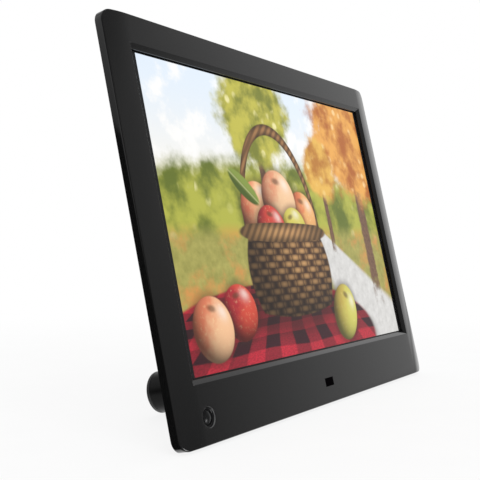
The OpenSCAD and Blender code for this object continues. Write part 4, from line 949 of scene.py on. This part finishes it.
# Soft-edged patch: an oval or, with Square at 1, a box; its edge can be ragged
def softPatchGroup():
    tree, given, out = newGroup(
        "softPatch", [("Vector", "Vector", None), ("Centre", "Vector", (0, 0, 0)),
                      ("Reach", "Vector", (1, 1, 1)), ("Turn", "Float", 0), ("Square", "Float", 0),
                      ("Edge", "Float", 0.05), ("Torn", "Float", 0)],
        [("Mask", "Float"), ("Inside", "Vector"), ("Distance", "Float")])
    turned = addNode(tree, "VectorRotate", rotation_type="Z_AXIS")
    feed(tree, turned.inputs["Vector"], vectorCalc(tree, "SUBTRACT", given["Vector"], given["Centre"]))
    feed(tree, turned.inputs["Angle"], calc(tree, "MULTIPLY", given["Turn"], -1))
    inside = vectorCalc(tree, "DIVIDE", turned.outputs[0], given["Reach"])
    split = addNode(tree, "SeparateXYZ")
    feed(tree, split.inputs[0], inside)
    across, up = split.outputs[0], split.outputs[1]
    oval = calc(tree, "SQRT", calc(tree, "ADD", calc(tree, "MULTIPLY", across, across),
                                   calc(tree, "MULTIPLY", up, up)))
    box = calc(tree, "MAXIMUM", calc(tree, "ABSOLUTE", across), calc(tree, "ABSOLUTE", up))
    shape = calc(tree, "ADD", calc(tree, "MULTIPLY", box, given["Square"]),
                 calc(tree, "MULTIPLY", oval, calc(tree, "SUBTRACT", 1, given["Square"])))
    shape = calc(tree, "ADD", shape, given["Torn"])
    feed(tree, out["Mask"], remap(tree, shape, calc(tree, "ADD", 1, given["Edge"]),
                                  calc(tree, "SUBTRACT", 1, given["Edge"])))
    feed(tree, out["Inside"], inside)
    feed(tree, out["Distance"], shape)
    return tree


# Foliage out of focus: drifting shade, leaf clumps and round spots of light
def foliageGroup():
    tree, given, out = newGroup("foliage", [("Vector", "Vector", None), ("Scale", "Float", 8),
                                            ("Deep", "Color", (0.1, 0.15, 0.02)),
                                            ("Leaf", "Color", (0.4, 0.45, 0.05)),
                                            ("Glow", "Color", (0.9, 0.85, 0.4))], [("Color", "Color")])
    clumps = noise(tree, given["Vector"], given["Scale"], 4, 0.55)
    base = blendColour(tree, remap(tree, clumps, 0.34, 0.62), given["Deep"], given["Leaf"])
    spots = addNode(tree, "TexVoronoi")
    feed(tree, spots.inputs["Vector"], given["Vector"])
    feed(tree, spots.inputs["Scale"], calc(tree, "MULTIPLY", given["Scale"], 2.6))
    spots.inputs["Randomness"].default_value = 1
    bright = remap(tree, spots.outputs["Distance"], 0.5, 0.2)
    chosen = addNode(tree, "SeparateColor")
    feed(tree, chosen.inputs[0], spots.outputs["Color"])
    lit = calc(tree, "MULTIPLY", bright, remap(tree, chosen.outputs[0], 0.45, 0.9))
    lit = calc(tree, "MULTIPLY", lit, remap(tree, clumps, 0.4, 0.6))
    feed(tree, out["Color"], blendColour(tree, calc(tree, "MULTIPLY", lit, 0.75), base, given["Glow"]))
    return tree


# Round fruit lit from above and from one side, with a blush, a stem hollow and a highlight
def fruitGroup(patch):
    tree, given, out = newGroup("fruit", [("Vector", "Vector", None), ("Centre", "Vector", (0, 0, 0)),
                                          ("Reach", "Vector", (1, 1, 1)), ("Skin", "Color", (0.6, 0.3, 0.1)),
                                          ("Blush", "Color", (0.6, 0.1, 0.05)), ("Turn", "Float", 0),
                                          ("Freckles", "Float", 0.5), ("Drift", "Float", 0.5)],
                                [("Color", "Color"), ("Mask", "Float"), ("Shadow", "Float")])
    body = place(tree, patch, {"Vector": given["Vector"], "Centre": given["Centre"], "Reach": given["Reach"],
                               "Turn": given["Turn"], "Edge": 0.03})
    split = addNode(tree, "SeparateXYZ")
    feed(tree, split.inputs[0], body["Inside"])
    across, up = split.outputs[0], split.outputs[1]
    flat = calc(tree, "MULTIPLY", body["Distance"], body["Distance"])
    bulge = calc(tree, "SQRT", calc(tree, "MAXIMUM", calc(tree, "SUBTRACT", 1, flat), 0))
    facing = addNode(tree, "CombineXYZ")
    for socket, value in zip(facing.inputs, (across, up, bulge)):
        feed(tree, socket, value)
    light = vectorCalc(tree, "DOT_PRODUCT", facing.outputs[0], (-0.45, 0.6, 0.66))
    warm = remap(tree, calc(tree, "ADD", given["Drift"], calc(tree, "MULTIPLY", across, 0.3)), 0.4, 0.75)
    skin = blendColour(tree, warm, given["Skin"], given["Blush"])
    skin = blendColour(tree, remap(tree, given["Freckles"], 0.55, 0.7, 0, 0.25), skin, (0.95, 0.75, 0.4))
    shade = remap(tree, light, -0.35, 0.95, 0.16, 1.1)
    shaded = blendColour(tree, 1, skin, shade, "MULTIPLY")
    hollow = place(tree, patch, {"Vector": body["Inside"], "Centre": (0.08, 0.62, 0), "Reach": (0.2, 0.1, 1),
                                 "Edge": 0.6})
    shaded = blendColour(tree, calc(tree, "MULTIPLY", hollow["Mask"], 0.7), shaded, (0.1, 0.045, 0.015))
    shine = calc(tree, "MULTIPLY", calc(tree, "POWER", calc(tree, "MAXIMUM", light, 0), 26), 0.55)
    feed(tree, out["Color"], blendColour(tree, shine, shaded, (1, 0.97, 0.9)))
    feed(tree, out["Mask"], body["Mask"])
    feed(tree, out["Shadow"], remap(tree, body["Distance"], 1.35, 0.9, 0, 0.55))
    return tree


# Woven cane: strands that pass over and under each other
def caneGroup():
    tree, given, out = newGroup("wovenCane", [("Vector", "Vector", None), ("Scale", "Float", 30),
                                              ("Light", "Color", (0.5, 0.28, 0.11)),
                                              ("Dark", "Color", (0.05, 0.02, 0.008)),
                                              ("Ageing", "Float", 0.5)],
                                [("Color", "Color")])
    split = addNode(tree, "SeparateXYZ")
    feed(tree, split.inputs[0], vectorCalc(tree, "SCALE", given["Vector"], given["Scale"]))
    column, row = calc(tree, "MULTIPLY", split.outputs[0], 0.4), split.outputs[1]
    side = calc(tree, "MODULO", calc(tree, "ADD", calc(tree, "ABSOLUTE", calc(tree, "FLOOR", column)),
                                     calc(tree, "ABSOLUTE", calc(tree, "FLOOR", row))), 2)
    acrossCell = calc(tree, "SUBTRACT", calc(tree, "FRACT", column), 0.5)
    upCell = calc(tree, "SUBTRACT", calc(tree, "FRACT", row), 0.5)
    over = calc(tree, "COSINE", calc(tree, "MULTIPLY", acrossCell, 3.0))
    strand = calc(tree, "COSINE", calc(tree, "MULTIPLY", upCell, 2.9))
    under = calc(tree, "MULTIPLY", calc(tree, "SUBTRACT", 1, over), 0.8)
    crossing = calc(tree, "ADD", calc(tree, "MULTIPLY", over, side),
                    calc(tree, "MULTIPLY", under, calc(tree, "SUBTRACT", 1, side)))
    height = calc(tree, "MULTIPLY", strand, crossing)
    aged = calc(tree, "MULTIPLY_ADD", calc(tree, "SUBTRACT", given["Ageing"], 0.5), 0.6, 1)
    feed(tree, out["Color"], blendColour(tree, calc(tree, "MULTIPLY", height, aged, clamp=True),
                                         given["Dark"], given["Light"]))
    return tree


# Checked cloth: two sets of bands that darken where they cross, with soft folds
def checkClothGroup():
    tree, given, out = newGroup("checkCloth", [("Vector", "Vector", None), ("Scale", "Float", 10),
                                               ("Ground", "Color", (0.5, 0.02, 0.04)),
                                               ("Band", "Color", (0.02, 0.005, 0.01)),
                                               ("Folds", "Float", 0.5)],
                                [("Color", "Color")])
    bent = vectorCalc(tree, "ADD", given["Vector"],
                      vectorCalc(tree, "SCALE", noise(tree, given["Vector"], 2.2, 2, colour=True), 0.11))
    split = addNode(tree, "SeparateXYZ")
    feed(tree, split.inputs[0], vectorCalc(tree, "SCALE", bent, given["Scale"]))
    bands = []
    for socket in split.outputs[:2]:
        wave = calc(tree, "ABSOLUTE", calc(tree, "SUBTRACT", calc(tree, "FRACT", socket), 0.5))
        bands.append(remap(tree, wave, 0.28, 0.22))
    twill = remap(tree, noise(tree, given["Vector"], 220, 2), 0.3, 0.7, 0.75, 1.15)
    cloth = blendColour(tree, calc(tree, "MULTIPLY", calc(tree, "ADD", bands[0], bands[1]), 0.48),
                        given["Ground"], given["Band"])
    fold = calc(tree, "MULTIPLY_ADD", calc(tree, "SUBTRACT", noise(tree, given["Vector"], 3.1, 3), 0.5),
                given["Folds"], 1)
    fold = calc(tree, "MULTIPLY", calc(tree, "POWER", fold, 2.2), twill)
    feed(tree, out["Color"], blendColour(tree, 1, cloth, fold, "MULTIPLY"))
    return tree


softPatch = softPatchGroup()
foliage = foliageGroup()
fruit = fruitGroup(softPatch)
wovenCane = caneGroup()
checkCloth = checkClothGroup()


# The picture on the display: fruit in a basket on a checked cloth, in an autumn garden.
# Its vector runs from 0 to 1.555 across, counted from the right, and from 0 to 1 up.
def paintPicture(tree, spot):
    split = addNode(tree, "SeparateXYZ")
    feed(tree, split.inputs[0], spot)
    across, up = split.outputs[0], split.outputs[1]
    broad, fine = noise(tree, spot, 7, 4, 0.6), noise(tree, spot, 26, 3, 0.6)
    grain = noise(tree, spot, 60, 3, 0.7)
    tornBroad = calc(tree, "MULTIPLY_ADD", broad, 0.95, -0.475)
    tornFine = calc(tree, "MULTIPLY_ADD", fine, 0.7, -0.35)

    def patch(x, y, wide, tall, **values):
        given = {"Vector": spot, "Centre": (x, y, 0), "Reach": (wide, tall, 1)}
        return place(tree, softPatch, given | values)

    def leaves(scale, deep, leaf, glow):
        return place(tree, foliage, {"Vector": spot, "Scale": scale, "Deep": deep, "Leaf": leaf,
                                     "Glow": glow})["Color"]

    # Sky, far trees, lawn and path, all out of focus
    seen = blendColour(tree, remap(tree, up, 0.5, 1.0), (0.98, 0.93, 0.84), (0.78, 0.87, 0.97))
    seen = blendColour(tree, remap(tree, broad, 0.48, 0.66), seen, (1, 0.99, 0.97))
    garden = leaves(7, (0.13, 0.17, 0.02), (0.46, 0.47, 0.07), (0.96, 0.9, 0.5))
    seen = blendColour(tree, patch(0.78, 0.5, 1.1, 0.2, Edge=0.2, Torn=tornBroad)["Mask"], seen, garden)
    lawn = blendColour(tree, fine, (0.2, 0.2, 0.04), (0.55, 0.5, 0.14))
    lawn = blendColour(tree, remap(tree, broad, 0.45, 0.7), lawn, (0.68, 0.3, 0.08))
    seen = blendColour(tree, remap(tree, up, 0.48, 0.4), seen, lawn)
    below = calc(tree, "SUBTRACT", 0.5, up)
    middle = calc(tree, "MULTIPLY_ADD", below, -1.15, 0.66)
    spread = calc(tree, "MULTIPLY_ADD", below, 0.62, 0.02)
    aside = calc(tree, "DIVIDE", calc(tree, "ABSOLUTE", calc(tree, "SUBTRACT", across, middle)), spread)
    pathMask = calc(tree, "MULTIPLY", remap(tree, aside, 1.16, 0.84), remap(tree, up, 0.49, 0.42))
    seen = blendColour(tree, pathMask, seen, blendColour(tree, fine, (0.5, 0.49, 0.47), (0.88, 0.87, 0.85)))

    # Trees: each row has the trunk's place and reach, the crown's place and reach, then three colours
    trees = ((0.13, 0.5, 0.035, 0.3, 0.1, 0.86, 0.36, 0.27,
              (0.45, 0.13, 0.02), (0.86, 0.42, 0.09), (1, 0.76, 0.4)),
             (0.92, 0.56, 0.02, 0.2, 0.9, 0.88, 0.24, 0.2,
              (0.2, 0.22, 0.03), (0.56, 0.52, 0.08), (1, 0.93, 0.5)),
             (0.46, 0.52, 0.016, 0.14, 0.46, 0.7, 0.13, 0.13,
              (0.5, 0.2, 0.03), (0.84, 0.5, 0.1), (1, 0.85, 0.45)))
    bark = blendColour(tree, grain, (0.05, 0.025, 0.015), (0.3, 0.16, 0.09))
    for trunkX, trunkY, trunkWide, trunkTall, x, y, wide, tall, deep, leaf, glow in trees:
        trunk = patch(trunkX, trunkY, trunkWide, trunkTall, Square=1, Edge=0.22, Torn=tornFine)
        seen = blendColour(tree, trunk["Mask"], seen, bark)
        crown = patch(x, y, wide, tall, Edge=0.14, Torn=tornBroad)
        seen = blendColour(tree, crown["Mask"], seen, leaves(9, deep, leaf, glow))

    # Table with its cloth, drawn in perspective
    far = calc(tree, "MAXIMUM", below, 0.05)
    table = addNode(tree, "CombineXYZ")
    feed(tree, table.inputs[0], calc(tree, "DIVIDE", calc(tree, "SUBTRACT", across, 0.9), far))
    feed(tree, table.inputs[1], calc(tree, "DIVIDE", 1, far))
    cloth = place(tree, checkCloth, {"Vector": vectorCalc(tree, "SCALE", table.outputs[0], 0.2), "Scale": 11})
    clothShadow = calc(tree, "MULTIPLY", patch(1.02, 0.0, 0.8, 0.25, Edge=0.06)["Mask"], 0.5)
    seen = blendColour(tree, clothShadow, seen, (0.06, 0.05, 0.03))
    seen = blendColour(tree, patch(1.02, 0.02, 0.78, 0.24, Edge=0.02)["Mask"], seen, cloth["Color"])

    # Basket: shadow, handle, woven body and rim, with the fruit between
    def lay(seen, things):
        for x, y, wide, tall, skin, blush, turn in things:
            one = place(tree, fruit, {"Vector": spot, "Centre": (x, y, 0), "Reach": (wide, tall, 1),
                                      "Skin": skin, "Blush": blush, "Turn": turn, "Freckles": grain,
                                      "Drift": broad})
            seen = blendColour(tree, one["Shadow"], seen, (0.03, 0.012, 0.008))
            seen = blendColour(tree, one["Mask"], seen, one["Color"])
        return seen

    seen = blendColour(tree, calc(tree, "MULTIPLY", patch(0.9, 0.16, 0.4, 0.09, Edge=0.4)["Mask"], 0.7), seen,
                       (0.02, 0.006, 0.006))
    strip = calc(tree, "ABSOLUTE", calc(tree, "SUBTRACT", patch(0.84, 0.45, 0.26, 0.38)["Distance"], 1))
    hoop = calc(tree, "MULTIPLY", remap(tree, strip, 0.065, 0.05), remap(tree, up, 0.44, 0.46))
    slant = calc(tree, "MULTIPLY", calc(tree, "ADD", across, up), 150)
    twist = remap(tree, calc(tree, "SINE", slant), -1, 1, 0.5, 1.1)
    twistRound = calc(tree, "MULTIPLY", twist, remap(tree, strip, 0.065, 0.0, 0.3, 1))
    seen = blendColour(tree, hoop, seen, blendColour(tree, 1, (0.34, 0.17, 0.065), twistRound, "MULTIPLY"))
    seen = lay(seen, ((0.68, 0.5, 0.1, 0.1, (0.8, 0.42, 0.16), (0.7, 0.13, 0.06), 0.2),
                      (1.0, 0.52, 0.115, 0.105, (0.86, 0.5, 0.26), (0.75, 0.2, 0.1), -0.2),
                      (0.84, 0.56, 0.12, 0.115, (0.85, 0.55, 0.32), (0.74, 0.26, 0.14), 0.1),
                      (0.76, 0.45, 0.09, 0.085, (0.62, 0.55, 0.1), (0.5, 0.4, 0.06), -0.3),
                      (0.93, 0.45, 0.1, 0.09, (0.6, 0.06, 0.04), (0.36, 0.02, 0.03), 0.15)))
    leaf = patch(1.07, 0.6, 0.1, 0.035, Turn=0.6, Edge=0.1)
    leafParts = addNode(tree, "SeparateXYZ")
    feed(tree, leafParts.inputs[0], leaf["Inside"])
    leafShade = blendColour(tree, remap(tree, leafParts.outputs[1], -0.5, 0.4), (0.07, 0.11, 0.015),
                            (0.24, 0.32, 0.06))
    rib = calc(tree, "MULTIPLY", remap(tree, calc(tree, "ABSOLUTE", leafParts.outputs[1]), 0.16, 0.04), 0.6)
    leafShade = blendColour(tree, rib, leafShade, (0.5, 0.52, 0.24))
    seen = blendColour(tree, leaf["Mask"], seen, leafShade)
    body = patch(0.84, 0.3, 0.3, 0.17, Square=0.55, Edge=0.02)
    offCentre = vectorCalc(tree, "LENGTH", vectorCalc(tree, "SUBTRACT", body["Inside"], (-0.35, 0.3, 0)))
    cane = place(tree, wovenCane, {"Vector": spot, "Scale": 42, "Ageing": broad})["Color"]
    cane = blendColour(tree, 1, cane, remap(tree, offCentre, 0.0, 1.35, 1.15, 0.25), "MULTIPLY")
    seen = blendColour(tree, body["Mask"], seen, cane)
    rim = patch(0.84, 0.44, 0.315, 0.036, Square=0.4, Edge=0.04)
    rimShade = calc(tree, "MULTIPLY", twist, remap(tree, rim["Distance"], 1, 0, 0.35, 1.1))
    seen = blendColour(tree, rim["Mask"], seen, blendColour(tree, 1, (0.46, 0.25, 0.1), rimShade, "MULTIPLY"))
    return lay(seen, ((1.24, 0.17, 0.1, 0.095, (0.62, 0.07, 0.04), (0.4, 0.02, 0.03), -0.1),
                      (1.41, 0.13, 0.11, 0.105, (0.84, 0.5, 0.28), (0.7, 0.2, 0.1), 0.2),
                      (0.48, 0.12, 0.095, 0.115, (0.6, 0.56, 0.12), (0.56, 0.42, 0.08), 0.5)))


def displayMaterial():
    material, tree, shader, at = startMaterial("displaySurface", (0.004, 0.004, 0.0045), 0.34,
                                               Specular_IOR_Level=0.25)
    shift = addNode(tree, "CombineXYZ")
    fromRight = calc(tree, "MULTIPLY", at["X"], -1)
    for socket, value, low in ((shift.inputs[0], fromRight, picture["left"]),
                               (shift.inputs[1], at["Up"], picture["bottom"])):
        feed(tree, socket, calc(tree, "DIVIDE", calc(tree, "SUBTRACT", value, low), picture["height"]))
    seen = paintPicture(tree, shift.outputs[0])
    inside = calc(tree, "LESS_THAN", calc(tree, "ABSOLUTE", at["X"]), picture["width"] / 2)
    above = calc(tree, "GREATER_THAN", at["Up"], picture["bottom"])
    below = calc(tree, "LESS_THAN", at["Up"], picture["bottom"] + picture["height"])
    faces = calc(tree, "LESS_THAN", at["Depth"], picture["front"] + picture["facing"])
    lit = calc(tree, "MULTIPLY", calc(tree, "MULTIPLY", inside, faces), calc(tree, "MULTIPLY", above, below))
    feed(tree, shader.inputs["Emission Color"], blendColour(tree, lit, (0, 0, 0), seen))
    shader.inputs["Emission Strength"].default_value = 1
    haze = noise(tree, at["Place"], 6, 3)
    feed(tree, shader.inputs["Roughness"], remap(tree, haze, 0.3, 0.7, 0.3, 0.38))
    setBump(tree, shader, noise(tree, at["Place"], 9, 2), 0.0008)
    return material


def dress(node, material):
    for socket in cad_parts[node].material_slots:
        socket.material = material


dress("lcd_glass", displayMaterial())
print("display ready")


insideFinishes = {
    foam: ["panel_gasket"],
    whiteFilm: ["light_films", "reflector_sheet"],
    clearGuide: ["light_guide"],
    ledStrip: ["led_strip"],
    whitePlastic: ["panel_frame", "ribbon_connector"],
    trayMetal: ["panel_tray", "panel_clips"],
    steel: ["clip_screws", "board_screws", "sensor_screws", "key_board_screws", "board_pillars"],
    flatCable: ["display_ribbon"],
    greyCable: ["key_cable"],
    boardGreen: ["main_board", "key_board", "ir_board", "motion_board"],
    chipEpoxy: ["processor", "memory_chips", "ir_receiver", "push_switches"],
    canMetal: ["power_parts", "motion_sensor"],
    speakerBlack: ["speaker_frames"],
    magnetMetal: ["speaker_magnets"],
}
for material, nodes in insideFinishes.items():
    for node in nodes:
        dress(node, material)
print("inside ready")


view = dict(lens=66.48, place=(-0.3886, -0.223, 0.0815), heading=-57.744, tilt=89.823)
cameraData = bpy.data.cameras.new("camera")
cameraData.lens = view["lens"]
cameraData.sensor_width = 36
cameraData.clip_start = 0.01
camera = bpy.data.objects.new("camera", cameraData)
camera.location = view["place"]
camera.rotation_euler = (math.radians(view["tilt"]), 0, math.radians(view["heading"]))
bpy.context.collection.objects.link(camera)
bpy.context.scene.camera = camera

# Two soft lamps, each with its place, size and power, in a plain pale room
studio = dict(plain=0.62, white=1.0, side=0.02, above=0.5, aboveClimb=(0.112, 0.128), high=0.85,
              highClimb=(0.14, 0.3), leftFrom=(0.1, -0.2), behindFrom=(-0.5, -0.1), aim=(0, 0, 0.08),
              key=((-0.7, -0.9, 1.1), 0.9, 9.0), fill=((0.9, 0.5, 1.2), 1.2, 7.0))

# Mirrored surroundings by heading in degrees: dim ahead on the left, a bright sheet on the right
sheet = dict(dimTo=-38, bendsAt=-19, fullFrom=-5, dim=0.2, middling=0.84, bright=1.05, endsAt=(80, 100),
             frontFrom=(-140, -125), frontClimb=(0.06, 0.32), frontLevel=(0.22, 0.42),
             horizon=0.6, horizonReach=0.03, under=1.3, underClimb=(-0.08, 0),
             over=0.62, overClimb=(0.45, 0.56), glintFrom=(0.356, -0.916, -0.183),
             glintReach=(0.983, 0.993), glint=12)


def surroundingsGroup():
    tree, given, out = newGroup("surroundings", [("Vector", "Vector", None)], [("Level", "Float")])
    parts = addNode(tree, "SeparateXYZ")
    feed(tree, parts.inputs[0], given["Vector"])
    heading = calc(tree, "ARCTAN2", parts.outputs[1], parts.outputs[0])

    def ramp(start, end, low, high):
        return remap(tree, heading, math.radians(start), math.radians(end), low, high, smooth=False)

    level = calc(tree, "ADD", ramp(sheet["dimTo"], sheet["bendsAt"], sheet["dim"], sheet["middling"]),
                 ramp(sheet["bendsAt"], sheet["fullFrom"], 0, sheet["bright"] - sheet["middling"]))
    front = remap(tree, parts.outputs[2], *sheet["frontClimb"], *sheet["frontLevel"], smooth=False)
    dip = remap(tree, calc(tree, "ABSOLUTE", parts.outputs[2]), 0.0, sheet["horizonReach"],
                sheet["horizon"], 1)
    under = remap(tree, parts.outputs[2], *sheet["underClimb"], sheet["under"], 1)
    over = remap(tree, parts.outputs[2], *sheet["overClimb"], 1, sheet["over"])
    level = calc(tree, "MULTIPLY", calc(tree, "MAXIMUM", level, front),
                 calc(tree, "MULTIPLY", calc(tree, "MULTIPLY", dip, under), over))
    sector = calc(tree, "MULTIPLY", ramp(*sheet["frontFrom"], 0, 1), ramp(*sheet["endsAt"], 1, 0))
    level = calc(tree, "MAXIMUM", calc(tree, "MULTIPLY", level, sector), studio["side"])
    towards = vectorCalc(tree, "DOT_PRODUCT", given["Vector"], sheet["glintFrom"])
    glint = remap(tree, towards, *sheet["glintReach"], 0, sheet["glint"])
    feed(tree, out["Level"], calc(tree, "ADD", level, glint))
    return tree


surroundings = surroundingsGroup()


def lightStudio():
    world = bpy.data.worlds.new("studio")
    bpy.context.scene.world = world
    world.use_nodes = True
    tree = world.node_tree
    background = tree.nodes["Background"]
    heading = addNode(tree, "TexCoord").outputs["Generated"]
    level = place(tree, surroundings, {"Vector": heading})["Level"]
    climb = addNode(tree, "SeparateXYZ")
    feed(tree, climb.inputs[0], heading)
    raised = calc(tree, "ADD", remap(tree, climb.outputs[2], *studio["aboveClimb"], 0, studio["above"]),
                  remap(tree, climb.outputs[2], *studio["highClimb"], 0, studio["high"] - studio["above"]))
    behindLeft = calc(tree, "MULTIPLY", remap(tree, climb.outputs[0], *studio["leftFrom"]),
                      remap(tree, climb.outputs[1], *studio["behindFrom"]))
    backdrop = calc(tree, "MAXIMUM", level, calc(tree, "MULTIPLY", raised, behindLeft))
    rays = addNode(tree, "LightPath").outputs
    seen = calc(tree, "ADD", rays["Is Camera Ray"], rays["Is Transmission Ray"], clamp=True)
    mirrored = blendColour(tree, rays["Is Glossy Ray"], (studio["plain"],) * 3, backdrop)
    feed(tree, background.inputs["Color"], blendColour(tree, seen, mirrored, (studio["white"],) * 3))
    background.inputs["Strength"].default_value = 1
    for name in ("key", "fill"):
        spot, size, power = studio[name]
        lampData = bpy.data.lights.new(name + "Lamp", "AREA")
        lampData.shape = "SQUARE"
        lampData.size = size
        lampData.energy = power
        lamp = bpy.data.objects.new(name + "Lamp", lampData)
        lamp.location = spot
        lamp.rotation_euler = (Vector(studio["aim"]) - Vector(spot)).to_track_quat("-Z", "Y").to_euler()
        lamp.visible_glossy = False
        bpy.context.collection.objects.link(lamp)


# Pale floor: it shades under the frame, fades to white further out and is bright near by in reflections
ground = dict(size=6.0, level=-0.0002, paleness=(0.84, 0.88), roughness=0.85, fade=(0.22, 0.55), shade=0.86,
              near=(0.11, 0.15), nearLevel=1.0, behind=(-0.02, 0))


def layFloor():
    bm = bmesh.new()
    size = ground["size"]
    bm.faces.new([bm.verts.new((x * size, y * size, ground["level"]))
                  for x, y in ((-1, -1), (1, -1), (1, 1), (-1, 1))])
    mesh = bpy.data.meshes.new("floor")
    bm.to_mesh(mesh)
    bm.free()
    material = bpy.data.materials.new("paleFloor")
    material.use_nodes = True
    tree = material.node_tree
    shader = tree.nodes["Principled BSDF"]
    spot = addNode(tree, "TexCoord").outputs["Object"]
    mottled = remap(tree, noise(tree, spot, 40, 3), 0.3, 0.7, *ground["paleness"])
    feed(tree, shader.inputs["Base Color"], blendColour(tree, 1.0, (1, 1, 1), mottled, "MULTIPLY"))
    shader.inputs["Roughness"].default_value = ground["roughness"]
    glow = addNode(tree, "Emission")
    mixed = addNode(tree, "MixShader")
    rays = addNode(tree, "LightPath").outputs
    distance = vectorCalc(tree, "LENGTH", spot)
    away = remap(tree, distance, *ground["fade"], ground["shade"], 1)
    onward = vectorCalc(tree, "SCALE", addNode(tree, "NewGeometry").outputs["Incoming"], -1)
    parts = addNode(tree, "SeparateXYZ")
    feed(tree, parts.inputs[0], spot)
    behind = calc(tree, "MULTIPLY", remap(tree, distance, *ground["near"], ground["nearLevel"], 0),
                  remap(tree, parts.outputs[1], *ground["behind"]))
    mirrored = calc(tree, "MAXIMUM", place(tree, surroundings, {"Vector": onward})["Level"], behind)
    level = blendColour(tree, rays["Is Glossy Ray"], (1, 1, 1), mirrored)
    feed(tree, glow.inputs["Color"], level)
    feed(tree, mixed.inputs[0], calc(tree, "ADD", calc(tree, "MULTIPLY", rays["Is Camera Ray"], away),
                                     rays["Is Glossy Ray"], clamp=True))
    tree.links.new(shader.outputs[0], mixed.inputs[1])
    tree.links.new(glow.outputs[0], mixed.inputs[2])
    tree.links.new(mixed.outputs[0], tree.nodes["Material Output"].inputs["Surface"])
    mesh.materials.append(material)
    floor = bpy.data.objects.new("floor", mesh)
    bpy.context.collection.objects.link(floor)


lightStudio()
layFloor()
bpy.context.scene.view_settings.view_transform = "Standard"
print("studio ready")
